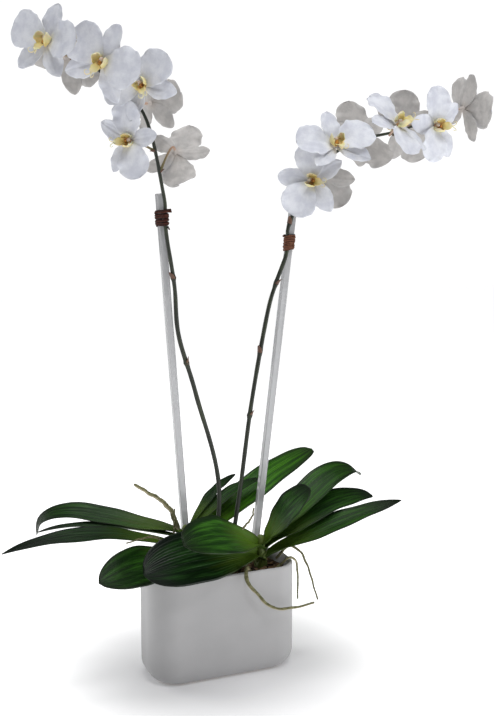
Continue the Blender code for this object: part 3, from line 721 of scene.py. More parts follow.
def add_bract(shape, spot, forward, facing, length, spread, own):
    """A small dry scale that clasps a stem and ends in a free point."""
    sideways = unit(np.cross(forward, facing))
    facing = np.cross(sideways, forward)
    rows, columns = np.linspace(0, 1, BRACT_ROWS), np.linspace(-1, 1, BRACT_COLUMNS)
    along, across = np.meshgrid(rows, columns, indexing="ij")
    turn = across * (1.9 * (1 - along) ** 0.8 + 0.02)
    reach = spread + 0.0018 * along ** 2
    grid = (spot + (length * along)[..., None] * forward
            + (np.cos(turn) * reach)[..., None] * facing + (np.sin(turn) * reach)[..., None] * sideways)
    start = len(shape.marks)
    shape.add_sheet(grid, np.full(along.shape, BRACT_THICKNESS), along, across, own)
    shape.marks[start:] = [(a, b, BRACT_MARK) for a, b, _ in shape.marks[start:]]


for side, spike in SPIKES.items():
    chance = seeded(f"spike_{side}")
    line = spike_line(side, STEM_POINTS)
    share = np.linspace(0, 1, STEM_POINTS)
    thinned = (share - STEM_TAPER_FROM) / (1 - STEM_TAPER_FROM)
    radii = STEM_RADIUS + (STEM_TIP_RADIUS - STEM_RADIUS) * np.clip(thinned, 0, 1)
    radii = radii + wobble(chance, share, (7, 13, 29), 0.00015)
    for joint in spike.joints:
        radii = radii + JOINT_SWELL * np.exp(-((line[:, 2] - joint * MM) / JOINT_SPREAD) ** 2)
    spike_shape = Shape()
    spike_shape.add_tube(*rounded(line, radii), 14)
    for number, joint in enumerate(spike.joints):
        spot = point_at_height(line, joint * MM)
        forward = unit(point_at_height(line, joint * MM + 0.01) - spot)
        facing = np.array([(-1) ** number * 0.9, -0.45, 0.0])
        add_bract(spike_shape, spot - forward * 0.001, forward, facing, 0.009, 0.0034, 0.0)
    for flower in FLOWERS[side]:
        outward = flower_axes(flower)[2]
        start = arch_point(side, flower.share)
        end = flower_centre(side, flower) - outward * RECEPTACLE_DEPTH * flower.size
        pull = end - outward * np.linalg.norm(end - start) * PEDICEL_BEND
        t = np.linspace(0, 1, 22)[:, None]
        stalk = (1 - t) ** 2 * start + 2 * t * (1 - t) * pull + t ** 2 * end
        swell = np.exp(-(t[:, 0] / 0.12) ** 2) * 0.0007 + np.clip(t[:, 0] - 0.75, 0, 1) * 0.0016
        spike_shape.add_tube(*rounded(stalk, PEDICEL_RADIUS + swell), 12, STALK_MARK)
        direction = unit(stalk[3] - stalk[0])
        below = np.array([0.2, -0.3, -1.0])
        spread = PEDICEL_RADIUS + 0.0006
        add_bract(spike_shape, start + direction * 0.001, direction, below, 0.006, spread, 1.0)
    spike_shape.make(f"spike_{side}_stem", stem_green, f"spike_{side}")

# %% [markdown]
# ## The raffia ties
# A strip of raffia is wound round stake and stem together, and its ends stick out. Seen from above one turn
# is the tight outline of two circles. A flat ribbon is swept along a helix of such turns, twice, a little
# apart, because real windings never lie quite parallel.

# %% Raffia
raffia = Finish("raffia", Roughness=0.85, Specular_IOR_Level=0.25)
along, across, _ = raffia.place()
lengthwise = raffia.node("ShaderNodeCombineXYZ", None, {0: along * 40.0, 1: across * 7.0})
fibre = raffia.noise(1.0, 5.0, 0.7, lengthwise)
strand_colour = raffia.ramp(
    fibre * 0.75 + raffia.own() * 0.3,
    (0.32, (0.025, 0.007, 0.005)), (0.58, (0.10, 0.028, 0.015)), (0.90, (0.36, 0.17, 0.09)))
# The strip's edges are painted near-black: painted shade that stands in for the dark gaps between the
# windings.
painted_gap_shade = abs(across).between(0.40, 0.85) * 0.95
raffia.feed({"Base Color": raffia.mix(painted_gap_shade, strand_colour, (0.012, 0.004, 0.003))})
raffia.bump(fibre, 0.0005)

TIE_TURNS = 6
TIE_PITCH = 0.0033
TURN_STEPS = 26
STRANDS = 2
RAFFIA_HALF_WIDTH = 0.0014
RAFFIA_HALF_THICK = 0.0009
RAFFIA_SIDES = 10


def winding_point(turn, stake_centre, stem_centre, stake_reach, stem_reach):
    """The tight loop round a stake and a stem, read at one direction."""
    out = np.array([math.cos(turn), math.sin(turn), 0.0])
    choices = [(centre @ out + reach, centre + out * reach)
               for centre, reach in ((stake_centre, stake_reach), (stem_centre, stem_reach))]
    return max(choices, key=lambda choice: choice[0])[1]


for side, spike in SPIKES.items():
    chance = seeded(f"tie_{side}")
    stem = spike_line(side, 201)
    foot, top, lean = stake_axis(STAKES[side])
    tie_shape = Shape()
    for strand in range(STRANDS):
        start_turn = chance.uniform(0, 2 * math.pi)
        turns = TIE_TURNS - strand * 1.3
        lowest = spike.tie_height * MM - TIE_PITCH * turns / 2 + strand * 0.0012
        gap = 0.0005 + 0.0007 * strand
        points = []
        for step in range(int(turns * TURN_STEPS) + 1):
            turn = step * 2 * math.pi / TURN_STEPS
            height = lowest + TIE_PITCH * step / TURN_STEPS + 0.0007 * math.sin(turn * 0.37 + strand * 2.1)
            stake_centre = foot + (top - foot) * (height - foot[2]) / (top[2] - foot[2])
            stem_centre = point_at_height(stem, height)
            points.append(winding_point(turn + start_turn, stake_centre, stem_centre,
                                        STAKE_SIDE * 0.66 + gap, STEM_RADIUS + gap))
        points = np.array(points)
        for end, order in ((0, 1), (-1, -1)):
            away = unit(points[end] - points[end + 4 * order]) + (0, -0.4, chance.uniform(-0.3, 0.3))
            free = [points[end] + unit(away) * reach + (0, 0, -0.2 * reach) for reach in (0.002, 0.0045)]
            points = np.vstack([free[::-1], points]) if order == 1 else np.vstack([points, free])
        path = curve_through(resampled(points, int(turns * 30)), int(turns * 60))
        forward = tangents(path)
        middle = np.array([np.mean(path[:, 0]), np.mean(path[:, 1]), 0])
        out = (path - middle) * (1, 1, 0)
        out = unit(out - forward * np.sum(out * forward, axis=1, keepdims=True))
        flat = np.cross(forward, out)
        places = np.linspace(0, 1, len(path))
        half_width = RAFFIA_HALF_WIDTH * (1 + wobble(chance, places, (9, 17, 31), 0.3))[:, None, None]
        ring_turns = np.arange(RAFFIA_SIDES) * 2 * math.pi / RAFFIA_SIDES
        rings = (path[:, None] + flat[:, None] * half_width * np.cos(ring_turns)[None, :, None]
                 + out[:, None] * RAFFIA_HALF_THICK * np.sin(ring_turns)[None, :, None])
        marks = np.stack([np.repeat(places[:, None], RAFFIA_SIDES, 1),
                          np.repeat(np.cos(ring_turns)[None], len(path), 0),
                          np.zeros((len(path), RAFFIA_SIDES))], -1)
        tie_shape.add_rings(rings, marks, own=chance.uniform(0, 1))
    tie_shape.make(f"tie_{side}_raffia", raffia, f"tie_{side}")
    print(f"{side} tie:", len(tie_shape.faces), "faces")

# %% [markdown]
# ## Petal finish
# The petals look like fine silk: cool white, with faint veins that run from the base and spread with the
# petal. Each point knows how far across it is, so lines of equal share across are the veins. The backs
# are painted a darker, warmer grey, which is painted shade as if they faced away from the light, and the
# front is yellow-green at its base. A little light passes through, which subsurface gives.

# %% Silk white
petal_white = Finish("petal_silk", Roughness=0.62, Specular_IOR_Level=0.25, Subsurface_Weight=0.18,
                     Subsurface_Scale=0.0025, Subsurface_Radius=(1.0, 0.95, 0.9))
along, across, face_side = petal_white.place()
drift = petal_white.noise(70.0, 4.0, 0.6)
vein_wave = (across * 26.0 + drift * 2.2).sine()
vein = abs(vein_wave) ** 6.0
weave = petal_white.noise(2600.0, 2.0)
# The front is painted darker where the drift noise is low, which is where the bump relief dips: painted
# shade in the petal's soft hollows.
white_with_painted_hollow_shade = petal_white.mix(drift.between(0.3, 0.7), (0.56, 0.58, 0.66), (0.72, 0.74, 0.80))
front_white = petal_white.mix(vein * 0.15, white_with_painted_hollow_shade, (0.60, 0.61, 0.67))
front_white = petal_white.mix((1 - along.between(0.02, 0.28)) * 0.6, front_white, (0.66, 0.64, 0.50))
# The backs' grey is painted shade: they are made darker than the fronts, as if turned away from the light.
back_with_painted_shade = petal_white.mix(drift.between(0.35, 0.65), (0.37, 0.36, 0.355), (0.48, 0.465, 0.455))
back_with_painted_shade = petal_white.mix((1 - along.between(0.0, 0.30)) * 0.4, back_with_painted_shade, (0.45, 0.38, 0.33))
petal_white.feed({"Base Color": petal_white.mix(face_side, back_with_painted_shade, front_white),
                  "Roughness": 0.55 + 0.15 * drift})
petal_white.bump(vein * 0.25 + weave * 0.35 + drift * 2.0, 0.00022)

# %% [markdown]
# ## Petals and sepals
# A moth orchid has three narrow sepals and, in front of them, two broad petals. Each is a sheet along a
# curved midline: its outline gives the width, an arc across gives the cup, and small waves that grow
# toward the edge give the ruffle. A plane with a texture would be quicker, but the rim and the waves show.

# %% Tepal shapes
Tepal = namedtuple("Tepal", "angle length width lift_base lift_tip widest fullness ruffle")
TEPALS = {
    "sepal_top": Tepal(90, 43, 27, 14, -8, 0.54, 1.9, 0.8),
    "sepal_right": Tepal(318, 44, 27, 8, -12, 0.50, 1.6, 0.8),
    "sepal_left": Tepal(222, 44, 27, 8, -12, 0.50, 1.6, 0.8),
    "petal_right": Tepal(14, 48, 47, 18, -10, 0.58, 2.2, 1.5),
    "petal_left": Tepal(166, 48, 47, 18, -10, 0.58, 2.2, 1.5),
}
# How one tepal stands otherwise than the next: turn in the flower's plane, forward lift, twist about its
# midline, share of the usual width. No two are alike, so each is drawn within these reaches.
Bend = namedtuple("Bend", "turn lift twist width")
TURN_REACH = 7
LIFT_REACH = 6
TWIST_REACH = 12
NARROWEST = 0.86
TEPAL_ROWS = 30
TEPAL_COLUMNS = 19
TEPAL_CLAW = 0.16
TEPAL_ARC = 0.14
OUTLINE_WAVES = 0.045      # how uneven an outline is, as a share of the half width
FOLD_DEPTH = 0.45          # soft folds that run along a petal, millimetres
TEPAL_START = 0.8
TEPAL_STEP_OUT = 0.15
TEPAL_STEP_UP = 0.12
PETAL_LEVEL = 0.5
SEPAL_LEVEL = -1.0


def natural_bends(side, number):
    """How the tepals of one bloom stand, drawn from its own seed."""
    chance = seeded(f"bend_{side}", number)
    closed = FLOWERS[side][number - 1].closed
    bends = {}
    for key in TEPALS:
        turn, lift, twist = chance.uniform(-1, 1, 3) * (TURN_REACH, LIFT_REACH, TWIST_REACH)
        bends[key] = Bend(turn, lift + closed, twist, chance.uniform(NARROWEST, 1))
    return bends


def tepal_line(tepal, bend, place, count=60):
    """A tepal's midline in its flower's own axes (right, up, outward), millimetres."""
    angle = math.radians(tepal.angle + bend.turn)
    reach = TEPAL_START + TEPAL_STEP_OUT * place
    height = TEPAL_STEP_UP * place
    line = []
    step = tepal.length / (count - 1)
    for k in range(count):
        line.append((reach * math.cos(angle), reach * math.sin(angle), height))
        bent = (tepal.lift_tip - tepal.lift_base) * k / (count - 2)
        slope = math.radians(tepal.lift_base + bend.lift + bent)
        reach += step * math.cos(slope)
        height += step * math.sin(slope)
    return np.array(line)


def arc_across(line, face, half, curl, columns):
    """A surface along a line that curves across by an arc: curl is the arc's half angle at each row.

    The half width is given for each row, or for each point where an outline is uneven.
    """
    forward = tangents(line)
    side = unit(np.cross(forward, face))
    upward = np.cross(side, forward)
    curl = np.where(np.abs(curl) < 0.01, 0.01, curl)
    turn = np.linspace(-1, 1, columns)[None] * curl[:, None]
    radius = half.reshape(len(line), -1) / curl[:, None]
    return (line[:, None] + side[:, None] * (radius * np.sin(turn))[..., None]
            + upward[:, None] * (radius * (1 - np.cos(turn)))[..., None]), upward


def tepal_sheet(shape, key, tepal, bend, place, scale, axes, centre, chance):
    """Adds one petal or sepal to a flower."""
    stations = 1 - (1 - np.linspace(0, 1, TEPAL_ROWS)) ** 1.5
    own = tepal_line(tepal, bend, place)
    own[:, 2] += PETAL_LEVEL if key.startswith("petal") else SEPAL_LEVEL
    line = np.array([np.interp(stations, np.linspace(0, 1, len(own)), own[:, k]) for k in range(3)]).T
    outward = np.array([0.0, 0.0, 1.0])
    side = unit(np.cross(tangents(line), outward))
    twist = np.radians(bend.twist * stations)[:, None]
    face = outward * np.cos(twist) + side * np.sin(twist)
    half = np.array([outline_width(s, tepal.widest, tepal.fullness, TEPAL_CLAW) for s in stations])
    half = half * tepal.width / 2 * bend.width
    curl = 2 * TEPAL_ARC * (0.7 + 0.6 * (1 - stations))
    across = np.linspace(-1, 1, TEPAL_COLUMNS)[None]
    uneven = np.ones((TEPAL_ROWS, TEPAL_COLUMNS))
    for edge in (-1, 1):
        notches = wobble(chance, stations, (1.6, 3.4, 5.7), OUTLINE_WAVES)[:, None]
        uneven += notches * np.clip(across * edge, 0, 1)
    surface, upward = arc_across(line, face, half[:, None] * uneven, curl, TEPAL_COLUMNS)
    rise = np.zeros((TEPAL_ROWS, TEPAL_COLUMNS))
    fade_in = np.clip(stations / 0.3, 0, 1)[:, None]
    for edge in (-1, 1):
        wave = wobble(chance, stations, (1.3, 2.3, 3.9), 1.7)[:, None]
        rise += tepal.ruffle * wave * np.clip(across * edge, 0, 1) ** 1.8 * fade_in
    folds = wobble(chance, across[0], (1.1, 1.9, 2.7), FOLD_DEPTH)[None]
    rise += folds * np.sin(math.pi * stations)[:, None]
    rise += tepal.ruffle * 0.8 * stations[:, None] ** 4 * wobble(chance, across[0], (0.5, 0.9), 1.0)[None]
    rise -= 0.5 * np.exp(-(across / 0.11) ** 2) * np.clip(1.15 - stations, 0, 1)[:, None]
    surface = surface + upward[:, None] * rise[..., None]
    thickness = np.broadcast_to(0.55 - 0.3 * across ** 2, rise.shape) * (1 - 0.4 * stations[:, None] ** 3)
    shape.add_sheet((surface * scale) @ axes + centre, thickness * scale,
                    np.broadcast_to(stations[:, None], rise.shape), np.broadcast_to(across, rise.shape),
                    chance.uniform(0, 1))


for side, flowers in FLOWERS.items():
    for number, flower in enumerate(flowers, start=1):
        chance = seeded(f"petal_{side}", number)
        axes = flower_axes(flower)
        centre = flower_centre(side, flower)
        scale = flower.size * MM
        bends = natural_bends(side, number)
        bloom = Shape()
        base_line = np.array([(0, 0, z) for z in (-6.0, -5.0, -4.0, -3.0, -2.0, -1.0, 0.2, 1.2)])
        base_radii = np.array([1.5, 1.7, 2.1, 2.7, 3.3, 3.7, 3.8, 3.2]) * scale
        rings, _ = swept(base_line * scale @ axes + centre, base_radii, 18)
        bloom.add_rings(rings)
        for place, (key, tepal) in enumerate(TEPALS.items()):
            tepal_sheet(bloom, key, tepal, bends[key], place, scale, axes, centre, chance)
        bloom.make(f"flower_{side}_{number}_petals", petal_white, f"flower_{side}_{number}")
    print(f"{side} spike:", len(flowers), "blooms")

# %% [markdown]
# ## Lips
# The lip is the orchid's landing stage: two raised side lobes round the cream column, a forked middle lobe
# that ends in two curling tendrils, and a spotted callus at the throat. Each lobe is an arced sheet, like
# a petal. The finish reads the kind of each part from its `own` value.

# %% Lip finish
lip_yellow = Finish("lip_yellow", Roughness=0.5, Specular_IOR_Level=0.35, Subsurface_Weight=0.12,
                    Subsurface_Scale=0.002)
along, across, face_side = lip_yellow.place()
kind = lip_yellow.own()
blotch = lip_yellow.noise(420.0, 3.0, 0.6)
lobe = lip_yellow.ramp(
    along + 0.3 * (blotch - 0.5), (0.0, (0.40, 0.16, 0.07)), (0.12, (0.64, 0.42, 0.20)),
    (0.30, (0.68, 0.56, 0.20)), (0.65, (0.70, 0.63, 0.32)), (1.0, (0.70, 0.66, 0.46)))
spots = blotch.between(0.58, 0.68) * (1 - along.between(0.20, 0.50))
lobe = lip_yellow.mix(spots * 0.7, lobe, (0.22, 0.05, 0.02))
column = lip_yellow.mix(along.between(0.3, 0.95), (0.60, 0.34, 0.18), (0.60, 0.50, 0.42))
callus = lip_yellow.mix(blotch.between(0.45, 0.6), (0.62, 0.30, 0.07), (0.22, 0.07, 0.025))
lip_colour = lip_yellow.mix(kind.between(0.2, 0.4), lobe, column)
lip_yellow.feed({"Base Color": lip_yellow.mix(kind.between(0.7, 0.9), lip_colour, callus)})
lip_yellow.bump(blotch, 0.0004)

# %% Lip parts
LIP_LOBE, LIP_COLUMN, LIP_CALLUS = 0.0, 0.55, 1.0
SIDE_LOBE = [(1.5, -2.0, 3.6), (5.2, -2.4, 5.6), (7.8, 0.4, 8.0), (7.6, 4.2, 10.6), (4.8, 7.2, 12.0)]
SIDE_WIDTHS = (2.4, 6.0, 8.2, 8.0, 4.6)
MIDDLE_LOBE = [(0, -2.6, 4.0), (0, -5.0, 8.4), (0, -8.5, 12.0), (0, -12.0, 14.6), (0, -15.0, 15.6)]
MIDDLE_WIDTHS = (2.2, 3.6, 5.4, 4.0, 0.7)
TENDRIL = [(0.3, -14.4, 15.4), (1.8, -17.6, 16.4), (4.2, -18.4, 18.6), (5.8, -15.8, 20.0),
           (4.6, -13.8, 18.8)]
COLUMN = [(0, 0.5, 1.0), (0, 1.1, 4.0), (0, 2.2, 6.6), (0, 2.8, 8.6)]
COLUMN_RADII = (2.7, 2.2, 2.2, 2.4)
CALLUS = [(0, -2.2, 4.6), (0, -1.9, 7.0), (0, -0.4, 9.2)]
CALLUS_RADII = (1.4, 2.3, 1.2)
LOBE_ROWS = 18
LOBE_COLUMNS = 11


def smooth_values(values, count):
    """Values eased along a line, as curve_through does for points."""
    return curve_through(np.stack([values, np.zeros(len(values)), np.zeros(len(values))], -1), count)[:, 0]


def lobe_sheet(shape, route, widths, facing, curl, axes, centre, scale, chance):
    """One cupped lobe of the lip."""
    line = curve_through(route, LOBE_ROWS)
    half = np.clip(smooth_values(widths, LOBE_ROWS), 0.3, None)
    faces = np.tile(facing, (LOBE_ROWS, 1))
    surface, upward = arc_across(line, faces, half, np.full(LOBE_ROWS, curl), LOBE_COLUMNS)
    stations = np.linspace(0, 1, LOBE_ROWS)
    across = np.linspace(-1, 1, LOBE_COLUMNS)[None]
    ruffle = wobble(chance, stations, (1.7, 2.9), 1.5)[:, None] * np.abs(across) ** 2
    surface = surface + upward[:, None] * ruffle[..., None]
    thick = np.broadcast_to(0.8 - 0.35 * across ** 2, (LOBE_ROWS, LOBE_COLUMNS))
    shape.add_sheet(surface * scale @ axes + centre, thick * scale,
                    np.broadcast_to(stations[:, None], thick.shape),
                    np.broadcast_to(across, thick.shape), LIP_LOBE)


for side, flowers in FLOWERS.items():
    for number, flower in enumerate(flowers, start=1):
        chance = seeded(f"lip_{side}", number)
        axes, centre, scale = flower_axes(flower), flower_centre(side, flower), flower.size * MM
        lip = Shape()
        for route, radii, own in ((COLUMN, COLUMN_RADII, LIP_COLUMN), (CALLUS, CALLUS_RADII, LIP_CALLUS)):
            line, sizes = rounded(curve_through(route, 9), smooth_values(radii, 9))
            lip.add_tube(line * scale @ axes + centre, sizes * scale, 14, own=own)
        lobe_sheet(lip, MIDDLE_LOBE, MIDDLE_WIDTHS, (0, 1, 0.35), 0.55, axes, centre, scale, chance)
        for hand in (-1, 1):
            mirrored = np.array(SIDE_LOBE) * (hand, 1, 1)
            lobe_sheet(lip, mirrored, SIDE_WIDTHS, (-hand, 0.15, 0.35), 0.75, axes, centre, scale, chance)
            curled = curve_through(np.array(TENDRIL) * (hand, 1, 1), 22)
            line, sizes = rounded(curled, np.linspace(0.55, 0.28, 22))
            rings, marks = swept(line * scale @ axes + centre, sizes * scale, 8)
            marks[..., 0] = 0.75
            lip.add_rings(rings, marks, LIP_LOBE)
        lip.make(f"lip_{side}_{number}_lobes", lip_yellow, f"lip_{side}_{number}")
print("lip parts per flower: column, callus, middle lobe, two side lobes, two tendrils")

# %% [markdown]
# ## Leaf finish
# Strap leaves are deep green and satin, with fine parallel veins, paler stripes, a yellow-green base and
# near-black edges and tips. All of it follows the leaf, so the finish is written in shares along and
# across. `own` holds each leaf's tone: partly its freshness, as the rear leaves are fresher than the front
# ones, and partly painted light, which darkens the shaded front leaves and brightens the lit rear one.

# %% Leaf green
leaf_green = Finish("leaf_green", Roughness=0.34, Specular_IOR_Level=0.22)
along, across, face_side = leaf_green.place()
# A low tone paints a leaf darker as if in shade, and a high tone paints it brighter as if lit: painted light
# on top of each leaf's own freshness.
tone_and_painted_light = leaf_green.own()
patch = leaf_green.noise(16.0, 3.0)
streak = leaf_green.noise(1.0, 4.0, 0.6, leaf_green.node(
    "ShaderNodeCombineXYZ", None, {0: along * 2.0, 1: across * 5.0, 2: tone_and_painted_light * 40.0}))
fine_vein = (across * 60.0 + streak * 3.0).sine() * 0.5 + 0.5
deep = leaf_green.mix(tone_and_painted_light, (0.0022, 0.0075, 0.0030), (0.012, 0.070, 0.002))
fresh = leaf_green.mix(tone_and_painted_light, (0.013, 0.046, 0.013), (0.075, 0.270, 0.012))
leaf_colour = leaf_green.mix(streak.between(0.40, 0.68), deep, fresh)
leaf_colour = leaf_green.mix(fine_vein * 0.12, leaf_colour, deep)
base_zone = 1 - (along + 0.5 * (streak - 0.5)).between(0.0, 0.50)
leaf_colour = leaf_green.mix(base_zone * 0.75, leaf_colour, (0.110, 0.200, 0.015))
edge_zone = (abs(across) + along * 0.16 + (patch - 0.5) * 0.25).between(0.84, 1.06)
tip_zone = (along + (patch - 0.5) * 0.5).between(0.62, 1.02)
dusk = leaf_green.mix(tone_and_painted_light, (0.004, 0.006, 0.006), (0.016, 0.016, 0.012))
leaf_colour = leaf_green.mix(edge_zone * 0.6, leaf_colour, dusk)
leaf_colour = leaf_green.mix(tip_zone * 0.75, leaf_colour, dusk)
under_colour = leaf_green.mix(0.45, leaf_colour, (0.030, 0.060, 0.022))
leaf_colour = leaf_green.mix(face_side, under_colour, leaf_colour)
leaf_green.feed({"Base Color": leaf_colour, "Roughness": 0.24 + 0.20 * patch})
leaf_green.bump(fine_vein * 0.5 + streak * 1.5, 0.0005)

# %% [markdown]
# ## Leaves
# A leaf is an arched sheet, folded like a gutter at its base and opening toward its tip, with shallow
# pleats beside the midrib. Each starts inside its crown, so that no gap shows where it leaves it.

# %% Leaf shapes
# A leaf: the height at which it leaves its crown, its bearing, length, the rise at its base and at its
# tip, how late it bends (1 evenly, more is later), its full width, its roll and how blunt its tip is.
Leaf = namedtuple("Leaf", "height bearing length rise_base rise_tip late width roll blunt")
LEAVES = {
    "leaf_left_long": Leaf(161, -86, 226, 25, -11, 1, 33, -14, 1.3),
    "leaf_left_arch": Leaf(181, -114, 196, 12, -72, 6, 34, -22, 1.9),
    "leaf_left_narrow": Leaf(176, -105, 174, 13, -12, 2, 18, 0, 1.9),
    "leaf_left_low": Leaf(145, -63, 135, 15, -6, 1, 51, -52, 1.8),
    "leaf_left_rear": Leaf(162, 115, 255, 26, 12, 1, 46, 15, 2.2),
    "leaf_left_upright": Leaf(180, 112, 135, 38, 2, 1, 26, 0, 1.8),
    "leaf_left_inner": Leaf(185, 125, 115, 40, 8, 1, 16, 0, 1.8),
    "leaf_right_front": Leaf(144, -70, 178, 16, -6, 1, 70, -52, 2.1),
    "leaf_right_near": Leaf(156, -58, 152, 28, 2, 1, 58, -40, 2.2),
    "leaf_right_upright": Leaf(160, 60, 88, 64, 42, 1, 47, 35, 2.2),
    "leaf_right_rear": Leaf(158, 106, 190, 34, -32, 4, 46, 16, 1.8),
    "leaf_right_side": Leaf(150, 95, 172, 29, -8, 2, 44, 16, 2.1),
    "leaf_right_long": Leaf(139, 76, 188, 25, 16, 1, 41, 15, 1.4),
}
# Each leaf's tone, from 0 for the dark front ones to 1 for the one the light shines on: partly how fresh its
# green is, and partly painted light, darker for the leaves in shade and brighter for the lit one.
LEAF_FRESHNESS_AND_PAINTED_LIGHT = {
    "leaf_left_long": 0.10, "leaf_left_arch": 0.25, "leaf_left_narrow": 0.20, "leaf_left_low": 0.35,
    "leaf_left_rear": 0.95, "leaf_left_upright": 0.30, "leaf_left_inner": 0.15, "leaf_right_front": 0.12,
    "leaf_right_near": 0.45, "leaf_right_upright": 0.30, "leaf_right_rear": 0.50, "leaf_right_side": 0.30,
    "leaf_right_long": 0.45,
}
LEAF_ROWS = 52
LEAF_HEART = 8             # a leaf starts this far below where it leaves the crown, in its middle
LEAF_COLUMNS = 21
LEAF_CHANNEL = 0.22
LEAF_WIDEST = 0.55
LEAF_NECK = 0.28
LEAF_CLEAR = 0.002
LEAF_THICKNESS = 0.0017
LEAF_EDGE_THINNER = 0.0011
PLEATS = 3.5
PLEAT_HEIGHT = 0.00032
LEAF_EDGE_WAVE = 0.0016


def leaf_line(name, leaf, count):
    """A leaf's midrib in metres: it leaves its crown rising and bends over on its way to the tip."""
    crown = CROWNS["left" if name.startswith("leaf_left") else "right"]
    start = np.array([*crown.place, leaf.height]) * MM
    spot = start + toward(leaf.bearing, 0) * (crown.radius * MM + LEAF_CLEAR)
    step = leaf.length * MM / (count - 1)
    line = [spot]
    for share in np.linspace(0, 1, count - 1):
        rise = leaf.rise_base + (leaf.rise_tip - leaf.rise_base) * share ** leaf.late
        spot = spot + toward(leaf.bearing, rise) * step
        line.append(spot)
    return np.array(line)


def leaf_sheet(shape, name, leaf, crown, chance):
    """One strap leaf, from inside its crown to its tip."""
    blade = leaf_line(name, leaf, 12)
    heart = np.array([*crown.place, leaf.height - LEAF_HEART]) * MM
    length = leaf.length * MM
    neck = np.linalg.norm(heart - blade[0])
    line = resampled(curve_through(np.vstack([heart, blade]), 200), LEAF_ROWS)
    stations = (np.linspace(0, 1, LEAF_ROWS) * (length + neck) - neck) / length
    inside = np.clip(stations, 0, 1)
    along = tangents(line)
    level_side = unit(np.cross(along, (0, 0, 1)))
    upright = np.cross(level_side, along)
    roll = math.radians(leaf.roll)
    face = upright * math.cos(roll) + level_side * math.sin(roll)
    side = unit(np.cross(along, face))
    face = np.cross(side, along)
    half = np.array([outline_width(s, LEAF_WIDEST, leaf.blunt, LEAF_NECK) for s in inside])
    half = half * leaf.width / 2 * MM
    half *= 1 + 0.25 * np.clip(stations, -1, 0)
    half *= 1 + wobble(chance, inside, (1.1, 2.3), 0.03)
    across = np.linspace(-1, 1, LEAF_COLUMNS)
    channel = LEAF_CHANNEL + 0.7 * np.exp(-(np.clip(stations, 0, 1) / 0.14) ** 2)
    narrowed = np.sqrt(1 - np.clip(channel - LEAF_CHANNEL, 0, 0.7) ** 2 * 0.8)
    rise = (channel * half)[:, None] * np.abs(across)[None] ** 1.5
    fade = (np.sin(math.pi * np.clip(inside, 0, 1)) ** 0.7)[:, None]
    rise = rise + PLEAT_HEIGHT * np.cos(across * PLEATS * 2 * math.pi)[None] * (1 - across[None] ** 4) * fade
    for edge in (-1, 1):
        rise = rise + (wobble(chance, inside, (1.4, 2.2, 3.7), LEAF_EDGE_WAVE)[:, None]
                       * np.clip(across * edge, 0, 1)[None] ** 2 * fade)
    surface = (line[:, None] + side[:, None] * ((half * narrowed)[:, None] * across[None])[..., None]
               + face[:, None] * rise[..., None])
    thickness = np.broadcast_to(LEAF_THICKNESS - LEAF_EDGE_THINNER * across[None] ** 2, rise.shape)
    shape.add_sheet(surface, thickness, np.broadcast_to(inside[:, None], rise.shape),
                    np.broadcast_to(across[None], rise.shape), LEAF_FRESHNESS_AND_PAINTED_LIGHT[name])


for number, (name, leaf) in enumerate(LEAVES.items()):
    leaf_shape = Shape()
    crown = CROWNS["left" if name.startswith("leaf_left") else "right"]
    leaf_sheet(leaf_shape, name, leaf, crown, seeded("leaf", number))
    leaf_shape.make(f"{name}_blade", leaf_green, name)
print("leaves:", len(LEAVES))

# %% [markdown]
# ## Crowns
# Under the leaves each rosette has a short stem wrapped in old leaf bases. A swept core with a few
# clasping scales round it is enough, as little of it shows.

# %% Crown sheaths
crown_green = Finish("crown_green", Roughness=0.55)
along, across, part = crown_green.place()
fibres = crown_green.noise(1.0, 4.0, 0.6, crown_green.where((400.0, 400.0, 60.0)))
sheath = crown_green.mix(along + 0.3 * (fibres - 0.5), (0.09, 0.13, 0.02), (0.11, 0.16, 0.025))
dark_fibres = fibres.between(0.4, 0.8) * 0.4
crown_green.feed({"Base Color": crown_green.mix(dark_fibres, sheath, (0.06, 0.08, 0.015))})
crown_green.bump(fibres, 0.0005)

for side, crown in CROWNS.items():
    chance = seeded(f"crown_{side}")
    levels = np.linspace(crown.foot, crown.top, 15)
    core = np.array([(*crown.place, z) for z in levels]) * MM
    share = np.linspace(0, 1, 15)
    radii = np.interp(share, (0, 0.5, 1), (0.75, 0.8, 0.6)) * crown.radius * MM
    crown_shape = Shape()
    crown_shape.add_tube(*rounded(core, radii), 20)
    for number in range(6):
        turn = number * 2.4 + chance.uniform(-0.3, 0.3)
        facing = np.array([math.cos(turn), math.sin(turn), 0.0])
        spot = np.array([*crown.place, crown.foot + (crown.top - crown.foot) * (0.35 + 0.06 * number)]) * MM
        length = chance.uniform(0.010, 0.017)
        add_bract(crown_shape, spot, np.array([0, 0, 1.0]), facing, length, crown.radius * MM * 0.8, 0.0)
    crown_shape.make(f"crown_{side}_sheaths", crown_green, f"crown_{side}")
    print(f"{side} crown:", crown.top - crown.foot, "mm tall")

# %% [markdown]
# ## Aerial roots
# Thick roots wander out of the mix and over the rim. They are swept tubes whose radius varies along
# their length, olive above and paler below, with a blunt tip.

